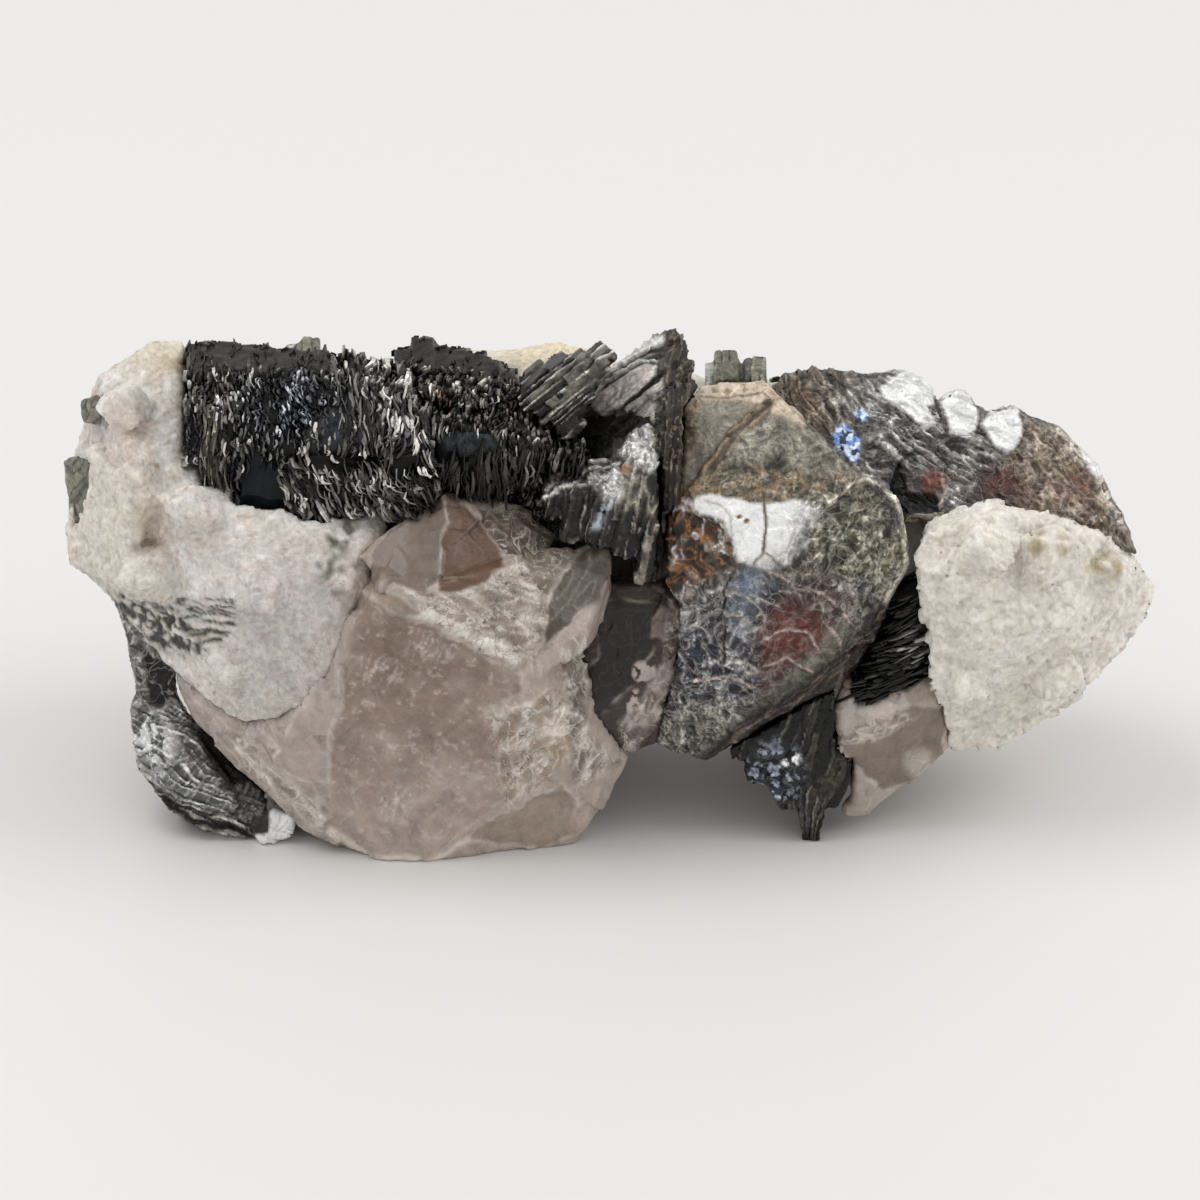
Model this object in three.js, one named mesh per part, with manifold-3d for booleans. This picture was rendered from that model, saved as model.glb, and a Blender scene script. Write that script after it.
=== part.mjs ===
// Muscovite mica specimen: mica books grown through smoky quartz and white feldspar.
// Units are millimetres, +Z is up, and the stone stands on z = 0 with its best side facing -Y.
//
// The stone is described from its front. Most points are given by at(u, v, depth): u and v are
// millimetres right and up on a drawing plane that leans back by LEAN, the way the specimen is
// looked at on a table, and depth is the distance along +Y. The finished group is then shifted so
// that the middle of its footprint is the origin.
import * as THREE from "three";
import { ConvexGeometry } from "three/addons/geometries/ConvexGeometry.js";
import { mergeVertices } from "three/addons/utils/BufferGeometryUtils.js";
import Module from "manifold-3d";

const wasm = await Module();
wasm.setup();

// ---------- driving dimensions ----------
const LEAN = THREE.MathUtils.degToRad(25); // the drawing plane leans back by this much
const SIGHT_HEIGHT = 13.7; // height of the drawing plane's own origin above the table
const GAP = 0.3; // clearance between two grown-together minerals
const JOIN = 0.06; // how far one slab of a stack reaches into the next, so that they fuse
const SOIL = 12; // how deep the block is that trims everything below the table

// ---------- small helpers ----------
const at = (u, v, depth) =>
  new THREE.Vector3(
    u,
    depth,
    (v - depth * Math.sin(LEAN)) / Math.cos(LEAN) + SIGHT_HEIGHT,
  );
const xyz = (x, y, z) => new THREE.Vector3(x, y, z);
// A direction as it looks on the drawing plane: right, up, and out of it towards the viewer.
const seen = (right, up, out) =>
  new THREE.Vector3(
    right,
    up * Math.sin(LEAN) - out * Math.cos(LEAN),
    up * Math.cos(LEAN) + out * Math.sin(LEAN),
  ).normalize();
// The same number between -1 and 1 each time for the same seed.
const scatter = (seed) => {
  const wave = Math.sin(seed * 12.9898 + 4.137) * 43758.5453;
  return 2 * (wave - Math.floor(wave)) - 1;
};

function solidOf(geometry) {
  const bare = geometry.clone();
  for (const name of Object.keys(bare.attributes))
    if (name !== "position") bare.deleteAttribute(name);
  const merged = mergeVertices(bare, 1e-4);
  return new wasm.Manifold(
    new wasm.Mesh({
      numProp: 3,
      vertProperties: merged.attributes.position.array,
      triVerts: new Uint32Array(merged.index.array),
    }),
  );
}

function geometryOf(solid) {
  const mesh = solid.getMesh();
  const geometry = new THREE.BufferGeometry();
  geometry.setAttribute(
    "position",
    new THREE.BufferAttribute(new Float32Array(mesh.vertProperties), 3),
  );
  geometry.setIndex(new THREE.BufferAttribute(new Uint32Array(mesh.triVerts), 1));
  const flat = geometry.toNonIndexed();
  flat.computeVertexNormals();
  return flat;
}

const joined = (solids) => solids.reduce((sum, s) => sum.add(s));
const largest = (solid) =>
  solid.decompose().sort((a, b) => b.volume() - a.volume())[0];

// A broken lump of rock with flat faces: the convex block round its corner points. With room it
// comes out that much larger on every side, as the pocket that the lump sits in.
function lump(points, room = 0) {
  const middle = points
    .reduce((sum, p) => sum.clone().add(p), new THREE.Vector3())
    .divideScalar(points.length);
  const grown = points.map((p) => {
    const out = p.clone().sub(middle);
    return p.clone().add(out.setLength(room * 1.3));
  });
  return solidOf(new ConvexGeometry(room ? grown : points));
}

// The corner points of a blocky grain: a tilted cube with its corners knocked about.
const knob = (middle, size, seed) => {
  const tilt = new THREE.Euler(scatter(seed), scatter(seed + 1), scatter(seed + 2));
  return Array.from({ length: 8 }, (_, i) => {
    const corner = xyz(i & 1 ? 1 : -1, i & 2 ? 1 : -1, i & 4 ? 1 : -1).applyEuler(tilt);
    const nudge = xyz(scatter(seed + i), scatter(seed + i + 50), scatter(seed + i + 100));
    return middle.clone().addScaledVector(corner.addScaledVector(nudge, 0.35), size / 2);
  });
};

// ---------- mica books ----------
// A mica book is a stack of leaves. Each slab of it has [thickness, low, high, near, far]: its
// leaves reach from low to high along `up`, and from near to far along up x normal, which points
// away from the viewer in every book here. A section gives the outline of a leaf as shares of
// those two reaches, [share from near to far, share from low to high].
const BLUNT = [
  [0.15, 0], [0.85, 0], [1, 0.15], [1, 0.85], [0.85, 1], [0.15, 1], [0, 0.85], [0, 0.15],
];
const CHIPPED = 0.035; // share by which the corners of a leaf are broken back, on average

function bookFrame(origin, normal, up) {
  const n = normal.clone().normalize();
  const b = up.clone().addScaledVector(n, -up.dot(n)).normalize();
  const a = new THREE.Vector3().crossVectors(b, n);
  return new THREE.Matrix4().makeBasis(a, b, n).setPosition(origin);
}

function slabSolid([thick, low, high, near, far], base, section, room, seed) {
  const corners = section.map(([along, height], i) => {
    const chip = CHIPPED * (1 + scatter(seed + i));
    const a = along + (0.5 - along) * chip;
    const b = height + (0.5 - height) * chip;
    return new THREE.Vector2(
      THREE.MathUtils.lerp(near - room, far + room, a),
      THREE.MathUtils.lerp(low - room, high + room, b),
    );
  });
  const geometry = new THREE.ExtrudeGeometry(new THREE.Shape(corners), {
    depth: thick + JOIN + 2 * room,
    bevelEnabled: false,
  });
  geometry.translate(0, 0, base - room);
  return solidOf(geometry);
}

function book({ origin, normal, up, slabs, section = BLUNT, seed }, room = 0) {
  const frame = bookFrame(origin, normal, up);
  let base = 0;
  const parts = slabs.map((slab, i) => {
    const part = slabSolid(slab, base, section, room, seed + 10 * i);
    base += slab[0];
    return part;
  });
  return joined(parts).transform(frame.elements);
}

// ---------- mica plates ----------
// A plate is one sheet-like crystal that faces the viewer: `outline` is its edge on the drawing
// plane, depthAt its front face, and it is `thick` deep behind that face. Rings of points run from
// its middle to its edge.
const RINGS = 4;

function plate({ outline, middle, depthAt, thick }, room = 0) {
  const edge = outline.map(([u, v]) => {
    const out = new THREE.Vector2(u - middle[0], v - middle[1]);
    const share = 1 + room / out.length();
    return [middle[0] + out.x * share, middle[1] + out.y * share];
  });
  const points = [];
  const faces = [];
  const sides = edge.length;
  for (const back of [0, 1]) {
    const shift = back ? thick + room : -room;
    const first = points.length;
    points.push(at(middle[0], middle[1], depthAt(...middle) + shift));
    for (let ring = 1; ring <= RINGS; ring++)
      for (const [u, v] of edge) {
        const share = ring / RINGS;
        const x = middle[0] + (u - middle[0]) * share;
        const y = middle[1] + (v - middle[1]) * share;
        points.push(at(x, y, depthAt(x, y) + shift));
      }
    const turned = (a, b, c) => (back ? [a, c, b] : [a, b, c]);
    for (let i = 0; i < sides; i++) {
      const next = (i + 1) % sides;
      faces.push(turned(first, first + 1 + next, first + 1 + i));
      for (let ring = 0; ring < RINGS - 1; ring++) {
        const inner = first + 1 + ring * sides;
        const outer = inner + sides;
        faces.push(turned(inner + i, inner + next, outer + next));
        faces.push(turned(inner + i, outer + next, outer + i));
      }
    }
  }
  const rim = 1 + (RINGS - 1) * sides;
  const behind = points.length / 2;
  for (let i = 0; i < sides; i++) {
    const next = (i + 1) % sides;
    faces.push([rim + i, rim + next, behind + rim + next]);
    faces.push([rim + i, behind + rim + next, behind + rim + i]);
  }
  const geometry = new THREE.BufferGeometry().setFromPoints(points);
  geometry.setIndex(faces.flat());
  const made = solidOf(geometry);
  if (made.volume() > 0) return made;
  geometry.setIndex(faces.map(([a, b, c]) => [a, c, b]).flat());
  return solidOf(geometry);
}

// ---------- the upright books along the top ----------
const ACROSS = xyz(1, 0, 0);
const UPRIGHT = xyz(0, 0, 1);

// Its slabs stand side by side from left to right: a level top, a rounded brow and a ragged foot.
const topLeftBook = {
  origin: xyz(-27.4, 0, 0),
  normal: ACROSS,
  up: UPRIGHT,
  section: [
    [0.04, 0.02], [0.56, 0], [1, 0.1], [0.85, 0.6], [0.52, 1], [0.23, 0.98], [0.06, 0.67],
    [0, 0.16],
  ],
  seed: 3,
  slabs: [
    [1.1, 26.0, 32.2, -6.6, 8],
    [2.2, 24.9, 32.4, -7.2, 8],
    [2.0, 22.9, 32.4, -7.6, 8],
    [2.0, 22.4, 32.3, -7.9, 8],
    [2.0, 21.5, 32.0, -7.6, 8],
    [2.2, 22.7, 31.6, -7.8, 8],
    [1.8, 23.2, 31.2, -8.2, 8],
    [1.8, 22.6, 30.6, -8.6, 7],
    [1.5, 24.0, 29.6, -8.9, 5],
  ],
};

// The roof of this one climbs away from the viewer, and steps down to the right.
const topMiddleBook = {
  origin: xyz(-13.7, 0, 0),
  normal: ACROSS,
  up: UPRIGHT,
  section: [[0, 0], [0.9, 0], [1, 0.5], [0.85, 0.85], [0.6, 1], [0.06, 0.88], [0, 0.7]],
  seed: 17,
  slabs: [
    [1.1, 21, 30.8, -4.2, 8],
    [1.6, 21, 31.8, -4.0, 8],
    [1.0, 21, 31.2, -4.4, 8],
    [1.1, 21, 30.9, -4.2, 8],
    [1.3, 21, 30.7, -4.5, 8],
    [1.0, 21, 30.2, -4.3, 7.6],
    [0.9, 21, 29.6, -4.6, 7.4],
    [1.4, 21, 28.8, -4.4, 7.0],
    [2.0, 21, 27.4, -4.8, 6.6],
    [2.2, 21, 25.6, -5.2, 6.0],
  ],
};

const ledgeBook = {
  origin: xyz(-11.0, 0, 0),
  normal: ACROSS,
  up: UPRIGHT,
  section: [[0.12, 0], [1, 0], [1, 1], [0.1, 1], [0, 0.8], [0, 0.12]],
  seed: 31,
  slabs: [
    [1.6, 24.4, 29.3, -6.7, -2],
    [1.6, 24.0, 29.1, -7.1, -2],
    [1.7, 24.2, 28.9, -7.2, -2],
    [1.4, 24.8, 28.3, -7.0, -2],
    [1.3, 25.4, 27.6, -6.7, -2],
    [2.2, 24.2, 26.6, -6.1, -2],
  ],
};

const silverBook = {
  origin: xyz(-3.7, 0, 0),
  normal: ACROSS,
  up: UPRIGHT,
  section: [[0.06, 0], [1, 0], [1, 1], [0.8, 1], [0.04, 0.86], [0, 0.72], [0, 0.12]],
  seed: 71,
  slabs: [
    [1.2, 23.2, 25.4, -8.0, -4.4],
    [1.8, 21.8, 25.6, -8.7, -4.2],
    [1.5, 21.5, 26.0, -8.9, -4.0],
    [1.6, 20.5, 27.6, -8.7, -3.8],
    [1.3, 18.6, 28.2, -8.3, -3.4],
  ],
};

const stubBook = {
  origin: xyz(7.0, 0, 0),
  normal: ACROSS,
  up: UPRIGHT,
  seed: 83,
  slabs: [
    [0.6, 25, 29.3, 1.4, 4.8],
    [1.5, 25, 30.0, 1.0, 5.2],
    [0.5, 25, 29.2, 1.2, 5.0],
    [1.4, 25, 29.6, 0.9, 5.0],
  ],
};

const smallStubBook = {
  origin: xyz(-20.9, 0, 0),
  normal: ACROSS,
  up: UPRIGHT,
  seed: 89,
  slabs: [
    [1.0, 26, 28.9, 5.6, 8.4],
    [1.2, 26, 29.4, 5.4, 8.6],
  ],
};

const footBook = {
  origin: xyz(8.7, 0, 0),
  normal: ACROSS,
  up: UPRIGHT,
  section: [
    [0.08, 0], [0.5, 0], [1, 0.4], [1, 1], [0.25, 1], [0.1, 0.7], [0, 0.4], [0, 0.12],
  ],
  seed: 101,
  slabs: [
    [1.0, 5.6, 9.0, -8.6, -3],
    [1.3, 4.0, 9.8, -8.9, -3],
    [1.7, 2.0, 11.0, -9.0, -2.6],
    [1.6, -1.0, 12.0, -9.1, -2.4],
    [1.2, -1.2, 12.5, -9.0, -2.4],
    [1.1, 2.0, 7.2, -8.8, -2.6],
  ],
};

// ---------- the slanting books ----------
const turned = (degrees) => THREE.MathUtils.degToRad(degrees);
const along = (degrees) => seen(Math.cos(turned(degrees)), Math.sin(turned(degrees)), 0);
const below = (degrees, out) =>
  seen(Math.sin(turned(degrees)), -Math.cos(turned(degrees)), -out);

// Thin leaves fanned out behind the tall book: they rise steeply to the right.
const sheafBook = {
  origin: at(-5.7, 13.6, 0),
  normal: below(47, 0.2),
  up: along(47),
  seed: 43,
  slabs: [
    [0.7, -1.0, 2.9, -2.0, 3.4],
    [0.7, -1.6, 4.4, -2.6, 3.6],
    [0.8, -1.8, 5.4, -3.0, 3.4],
    [0.7, -1.6, 6.6, -2.8, 3.2],
    [0.8, -1.4, 3.8, -3.2, 3.0],
    [0.8, -1.4, 2.2, -3.4, 3.0],
  ],
};

// The tall book leans over to the left, and each leaf comes further forward than the one above.
const TALL_RISE = 36.3;
const tallBook = {
  origin: at(-2.7, 11.4, 1),
  normal: below(TALL_RISE, 0.7),
  up: along(TALL_RISE),
  seed: 59,
  slabs: [
    [0.5, 2.4, 10.3, -1.8, 2.4],
    [0.6, 0.8, 9.7, -2.6, 2.4],
    [0.7, 0.6, 9.2, -5.6, 2.4],
    [0.8, 4.4, 8.6, -7.4, 2.4],
    [1.0, 5.0, 7.8, -7.8, 2.4],
    [1.2, 4.6, 6.9, -8.2, 2.4],
  ],
};
// Its leaves carry on as a dark broken edge down the left of the front plate.
const darkEdgeBook = {
  origin: at(3.6, 0, 0),
  normal: ACROSS,
  up: UPRIGHT,
  seed: 61,
  slabs: [
    [0.6, 6.5, 15.0, -6.8, -1],
    [0.6, 4.4, 16.6, -7.2, -1],
    [0.5, 3.4, 17.2, -7.0, -1],
  ],
};

const rightFanBook = {
  origin: at(17.6, -0.6, -5.6),
  normal: seen(0.42, -0.9, -0.3),
  up: seen(0.9, 0.42, 0.0),
  seed: 97,
  slabs: [
    [1.0, 1.2, 4.6, -1.6, 3],
    [0.9, 0.2, 4.4, -1.8, 3],
    [0.9, -0.8, 4.8, -2.2, 3],
    [0.9, -1.8, 5.0, -2.4, 3],
    [0.9, -2.8, 4.8, -2.6, 3],
    [0.8, -3.2, 4.0, -2.2, 3],
  ],
};

// ---------- the plates ----------
// Each is one or more sheets, the later ones lying on the first.
const frontFace = (u, v) =>
  -10.0 + (v > -2 ? 0.032 : 0.02) * (v + 2) ** 2 + 0.026 * (u - 10.5) ** 2;
const frontPlate = [
  {
    outline: [
      [6.7, 13.9], [8.6, 14.3], [10.7, 14.2], [13.3, 12.1], [16.0, 9.4], [18.2, 7.8],
      [19.7, 6.6], [20.2, 4.4], [20.3, 2.0], [19.4, 0.4], [18.2, -2.4], [17.2, -4.2],
      [15.7, -5.5], [12.7, -7.2], [9.4, -9.2], [7.0, -10.5], [5.3, -10.2], [3.8, -9.4],
      [4.5, -6.4], [5.3, -3.0], [5.4, -0.4], [4.4, 1.2], [4.5, 5.4], [5.4, 8.4], [5.6, 12.2],
    ],
    middle: [11.4, 1.5],
    thick: 2.0,
    depthAt: (u, v) => frontFace(u, v) + 0.4,
  },
  {
    outline: [
      [11.0, 13.0], [13.3, 11.5], [16.0, 9.2], [17.9, 7.7], [19.4, 6.4], [19.9, 4.4],
      [19.8, 2.0], [18.9, 0.4], [17.6, -2.2], [16.4, -4.0], [12.5, -6.3], [9.4, -8.2],
      [8.5, -8.8], [8.2, -3.2], [8.2, 0.8], [9.0, 2.5], [8.4, 4.4], [6.3, 6.0], [6.1, 7.4],
      [7.8, 10.2],
    ],
    middle: [12.4, 2.0],
    thick: 1.0,
    depthAt: frontFace,
  },
];

const rearFace = (u, v) => -4.4 + 0.85 * (v - 5.3) + 0.018 * (u - 22) ** 2;
const rearPlate = [
  {
    outline: [
      [11.2, 13.6], [12.4, 14.9], [14.0, 15.4], [17.6, 15.0], [20.2, 15.2], [21.7, 14.4],
      [22.4, 13.2], [24.0, 13.9], [25.6, 12.4], [27.6, 12.8], [30.6, 11.4], [33.0, 8.8],
      [34.7, 5.4], [35.7, 3.0], [31.6, 4.6], [27.0, 5.7], [22.0, 5.3], [19.6, 5.4],
      [17.2, 7.6], [13.6, 10.2], [11.6, 12.2],
    ],
    middle: [23.0, 9.6],
    thick: 2.6,
    depthAt: (u, v) => rearFace(u, v) + 0.4,
  },
  {
    outline: [
      [11.6, 13.4], [12.8, 14.8], [17.6, 14.7], [20.0, 14.9], [22.0, 13.0], [20.4, 9.6],
      [19.2, 7.0], [17.0, 8.2], [13.8, 10.6],
    ],
    middle: [17.0, 11.8],
    thick: 0.8,
    depthAt: rearFace,
  },
  {
    outline: [
      [26.2, 12.0], [27.8, 12.5], [30.4, 11.1], [32.8, 8.5], [34.4, 5.2], [31.4, 5.0],
      [27.0, 6.1], [25.4, 9.0],
    ],
    middle: [29.4, 8.6],
    thick: 0.8,
    depthAt: rearFace,
  },
];

const lowerLeftFace = (u, v) => -2.6 + 0.4 * v + 0.03 * (u + 27) ** 2;
const lowerLeftBook = [
  {
    outline: [
      [-32.3, 0.0], [-30.2, -0.4], [-29.0, -1.6], [-28.2, -3.2], [-28.2, -6.0],
      [-27.6, -7.6], [-26.3, -8.6], [-24.0, -11.3], [-22.2, -13.0], [-22.4, -14.3],
      [-22.6, -15.4], [-23.7, -15.8], [-26.7, -15.0], [-28.5, -13.8], [-30.0, -12.0],
      [-30.6, -11.0], [-31.0, -8.7], [-31.2, -7.0], [-30.8, -6.0], [-31.2, -4.0],
      [-31.4, -2.7], [-32.0, -0.8],
    ],
    middle: [-28.6, -9.0],
    thick: 3.4,
    depthAt: lowerLeftFace,
  },
  {
    outline: [
      [-29.8, -8.0], [-27.8, -8.2], [-26.4, -9.4], [-24.6, -11.8], [-24.0, -13.8],
      [-26.2, -14.2], [-28.4, -12.8], [-29.6, -11.2],
    ],
    middle: [-27.2, -11.0],
    thick: 0.8,
    depthAt: (u, v) => lowerLeftFace(u, v) - 0.5,
  },
  {
    outline: [
      [-23.2, -15.2], [-22.8, -14.2], [-21.6, -14.1], [-20.4, -14.4], [-20.6, -15.5],
      [-21.3, -15.9], [-22.4, -16.0],
    ],
    middle: [-21.8, -15.0],
    thick: 1.8,
    depthAt: (u, v) => -9.0 + 0.2 * (v + 15),
  },
];

const leftFlakes = [
  {
    outline: [
      [-35.6, 9.2], [-34.6, 9.6], [-33.6, 9.0], [-33.8, 7.4], [-33.4, 5.4], [-34.2, 4.6],
      [-35.2, 5.6], [-35.4, 7.4],
    ],
    middle: [-34.6, 7.2],
    thick: 1.6,
    depthAt: (u) => -1.4 - 1.2 * (u + 35),
  },
];
const upperLeftFlakes = [
  {
    outline: [[-34.5, 13.2], [-33.2, 13.6], [-32.8, 12.6], [-33.4, 11.6], [-34.3, 11.8]],
    middle: [-33.6, 12.6],
    thick: 1.6,
    depthAt: (u) => -1.0 - 1.2 * (u + 34),
  },
];

// ---------- the quartz and feldspar ----------
const leftFeldspar = [
  at(-33.3, 14.8, 2), at(-29.7, 17.0, 3), at(-26.4, 17.2, 3), at(-35.3, 8.0, 2),
  at(-35.2, 3.3, 0), at(-32.3, 0.0, -2), at(-28.6, -4.2, -6.4), at(-26.6, -5.4, -8.6),
  at(-25.4, -6.8, -9.4), at(-23.6, -8.0, -10.4), at(-21.3, -7.6, -11.4),
  at(-19.7, -6.7, -11.8), at(-18.0, -4.8, -12.2), at(-17.0, -2.6, -12.2),
  at(-16.6, 2.7, -10.0), at(-13.9, 5.5, -6.2), at(-31.3, 10.0, -4.8), at(-24.5, 1.0, -10.8),
  at(-28.6, 9.4, -4.8), xyz(-33, 9, 20), xyz(-30, 12, 11), xyz(-23, 13, 25.5),
  xyz(-15, 14, 21), xyz(-17, 13, 6), xyz(-26, 12, 26), xyz(-22, 2, 4),
];
const leftEdgeLump = [
  at(-35.5, 6.4, -1), at(-33.8, 10.2, -3), at(-30.0, 6.0, -8), at(-31.8, 1.2, -6),
  at(-35.2, 2.4, -2), xyz(-30, 6, 18), xyz(-28, 4, 24), xyz(-29, 3, 12),
];
const smokyQuartzBlock = [
  at(-28.2, -5.0, -5.2), at(-26.8, -8.0, -7.4), at(-22.4, -12.8, -9.2),
  at(-19.7, -15.0, -9.8), at(-16.7, -16.3, -10.4), at(-11.3, -17.0, -10.9),
  at(-6.7, -16.5, -9.8), at(-1.7, -16.2, -9), at(0.2, -13.3, -8.6), at(1.6, -10.6, -8),
  at(-13.0, 0.0, -13.4), at(-4.7, -4.3, -13.4), at(-17.2, -2.8, -12.4),
  at(-3.6, -8.0, -12.6), at(-20.5, -9.4, -11.6), xyz(-26, 4, 4), xyz(-25, 5, 13),
  xyz(1.5, 4, 7), xyz(2, 4, 15), xyz(-14, 6, 17), xyz(-21, 4, -2), xyz(-2, 4, -2),
  xyz(-13, -11.5, -1),
];
const smokyQuartzPeak = [
  at(-15.9, 2.8, -9.8), at(-12.6, 5.4, -8.4), at(-10.2, 6.9, -7), at(-6.2, 1.6, -9.8),
  at(-9.2, 0.2, -12.4), at(-13.0, 0.2, -13.2), at(-5.3, 6.2, -5), at(-2.8, 4.6, -4.6),
  at(-4.6, 0.6, -10.5), xyz(-13, 1, 17), xyz(-4, 1, 15), xyz(-8, 2, 21),
];
const smokyQuartzShard = [
  at(-3.6, 3.2, -7.6), at(0.3, 3.7, -6.8), at(0.5, 1.8, -7.8), at(-1.2, -3.0, -11.6),
  at(-4.2, -5.0, -13.0), at(-5.2, -0.8, -11.8), xyz(-2, 0, 16), xyz(1, 0, 12),
  xyz(-4, 0, 10),
];
// The crushed band between the peak, the shard and the big face.
const smokyQuartzBand = [
  at(-13.6, 0.6, -13.0), at(-10.6, 0.8, -12.6), at(-7.7, 1.4, -11.9), at(-5.0, 2.4, -10.6),
  at(-4.2, -0.6, -11.6), at(-4.6, -4.0, -13.0), at(-7.0, -3.6, -13.4), at(-11.6, -0.8, -13.4),
  xyz(-12, 0, 18), xyz(-5, 0, 18), xyz(-7, 0, 11),
];
const darkQuartzBlock = [
  at(-1.2, 1.0, -5.4), at(4.0, 1.2, -5.4), at(5.4, -0.6, -6.4), at(4.8, -4.9, -7.6),
  at(3.5, -9.6, -7.4), at(0.6, -10.4, -7.6), at(-1.0, -7.6, -8.4), at(1.2, -2.6, -6.6),
  at(7.0, 1.0, -4.0), at(7.0, -6.0, -4.8), xyz(-1, 3, 14), xyz(6, 3, 13), xyz(5, 2, 8),
  xyz(-1, 3, 7),
];
const whiteBlock = [
  at(20.9, 3.0, -7.4), at(21.6, 4.4, -7), at(24.0, 5.1, -6.4), at(26.7, 5.7, -5.8),
  at(30.0, 5.2, -4.8), at(33.3, 4.4, -3.4), at(35.5, 2.7, -1.6), at(36.8, 0.7, 0),
  at(36.4, -1.0, 0.6), at(34.7, -3.3, -1), at(32.3, -6.0, -2), at(29.3, -8.2, -3),
  at(26.7, -9.6, -4), at(23.5, -9.9, -5), at(22.2, -6.0, -8.6), at(25.2, -2.0, -10),
  at(30.2, -1.6, -8.4), at(22.0, -1.2, -9.0), xyz(24, 8, 21), xyz(32, 7, 19),
  xyz(35, 6, 14), xyz(31, 7, 9), xyz(24, 8, 8),
];
const rightQuartz = [
  at(15.4, -7.8, -6.6), at(16.6, -4.9, -6.8), at(18.7, -4.0, -7), at(22.0, -4.3, -6.8),
  at(23.2, -6.0, -6.4), at(23.3, -9.6, -5), at(21.7, -11.3, -5.4), at(19.3, -12.4, -6),
  at(17.6, -14.3, -7), at(16.5, -14.3, -7), at(15.9, -10.7, -8.2), at(15.2, -9.0, -7.4),
  at(19.6, -7.4, -8.8), xyz(17, 3, 7), xyz(22, 4, 9), xyz(20, 3, 14),
];
const rearLeftRock = [
  xyz(-22, 13, 24), xyz(-24, 9, 25), xyz(-20, 2, 26), xyz(-8.0, 8, 25.6),
  xyz(-6.4, 9, 27.2), xyz(-4.8, 9, 28.0), xyz(-2.2, 9, 28.5), xyz(-0.4, 9.4, 28.0),
  xyz(0.8, 9.6, 27.2), xyz(4, 13, 23),
  xyz(-22, 13, 6), xyz(-10, 16, 5), xyz(4, 14, 6), xyz(-20, 5, 4), xyz(0, 5, 8),
  xyz(-15, 12, -2), xyz(-5, 13, -2), xyz(-10, 8, -2), xyz(-10, 16, 18), xyz(3, 2, 24),
];
const rearRightRock = [
  xyz(2, 10, 26), xyz(10, 7, 26.5), xyz(18, 7, 26), xyz(29, 6, 22), xyz(31, 10, 16),
  xyz(28, 13, 12), xyz(8, 15, 20), xyz(4, 14, 7), xyz(15, 13, 3), xyz(24, 11, 6),
  xyz(6, -2, 13), xyz(21, -3, 15), xyz(8, -2, 21), xyz(20, 0, 22), xyz(7, 4, 7),
  xyz(20, 3, 8),
];
const rearFoot = [
  xyz(12, 6, -2), xyz(16.5, 5, -2), xyz(19.5, 8.5, -2), xyz(14, 12, -2), xyz(6, 4, 11),
  xyz(22, 2, 12), xyz(26, 9, 12), xyz(7, 13, 9),
];

// Grains that stand out from the sugary faces.
const leftKnobs = [
  knob(at(-31.6, 12.6, -2.4), 2.4, 1), knob(at(-30.4, 7.4, -6.4), 2.8, 7),
  knob(at(-26.8, 6.0, -8.0), 2.6, 13), knob(at(-29.6, 1.6, -7.2), 2.6, 19),
  knob(at(-22.4, 0.6, -10.2), 2.8, 23), knob(at(-24.6, -4.4, -9.6), 2.6, 29),
  knob(at(-18.8, 3.2, -8.6), 2.4, 31),
];
const whiteKnobs = [
  knob(at(25.4, 3.2, -7.6), 2.6, 37), knob(at(29.6, 3.0, -6.6), 2.6, 41),
  knob(at(33.6, 1.4, -3.6), 2.6, 47), knob(at(24.2, -5.2, -8.0), 2.6, 53),
  knob(at(30.0, -5.0, -6.0), 2.8, 59),
];
const rearKnobs = [
  knob(xyz(-14, 13.4, 20), 3.6, 61), knob(xyz(4, 13, 13), 3.8, 67),
  knob(xyz(24, 10.4, 14), 3.6, 71), knob(xyz(-13, 13.2, 6), 3.4, 73),
  knob(xyz(18, 12, 9), 3.4, 79),
];

// ---------- books that show only from behind ----------
const backLeftBook = {
  origin: xyz(-25.4, 10.4, 10.4),
  normal: xyz(0.62, 0.55, 0.5),
  up: xyz(-0.5, 0.1, 0.85),
  seed: 127,
  slabs: [
    [1.4, -5, 6, -4.6, 4.4],
    [1.5, -5.6, 7, -5.2, 5.0],
    [1.2, -4.6, 5.6, -4.6, 4.2],
  ],
};
const backMiddleBook = {
  origin: xyz(-5, 12.4, 15),
  normal: xyz(0.2, 0.95, 0.25),
  up: xyz(0.35, -0.2, 0.9),
  seed: 139,
  slabs: [
    [1.8, -7, 7.4, -6.4, 6.0],
    [1.4, -6.2, 6.4, -5.6, 5.4],
    [1.0, -4.6, 5.6, -4.0, 4.6],
  ],
};
const backRightBook = {
  origin: xyz(14, 9.6, 19),
  normal: xyz(0.25, 0.7, 0.66),
  up: xyz(0.1, -0.66, 0.74),
  seed: 151,
  slabs: [
    [1.8, -5.4, 4.0, -6.4, 6.0],
    [1.4, -4.6, 3.4, -5.6, 5.4],
    [1.2, -3.8, 2.6, -4.4, 4.8],
  ],
};

// ---------- assembly ----------
// Listed from the crystals that kept their shape to the rock that grew round them: each one is
// cut back by everything above it.
const MINERALS = {
  mica: { color: 0x3b3a37, roughness: 0.35, metalness: 0.35 },
  silverMica: { color: 0x8d8b85, roughness: 0.25, metalness: 0.45 },
  smokyQuartz: { color: 0x8a7d73, roughness: 0.2, metalness: 0.0 },
  feldspar: { color: 0xd8d2c8, roughness: 0.75, metalness: 0.0 },
};

const made = (shape, specs) => ({
  kept: () => joined(specs.map((spec) => shape(spec, 0))),
  pocket: () => joined(specs.map((spec) => shape(spec, GAP))),
});

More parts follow.
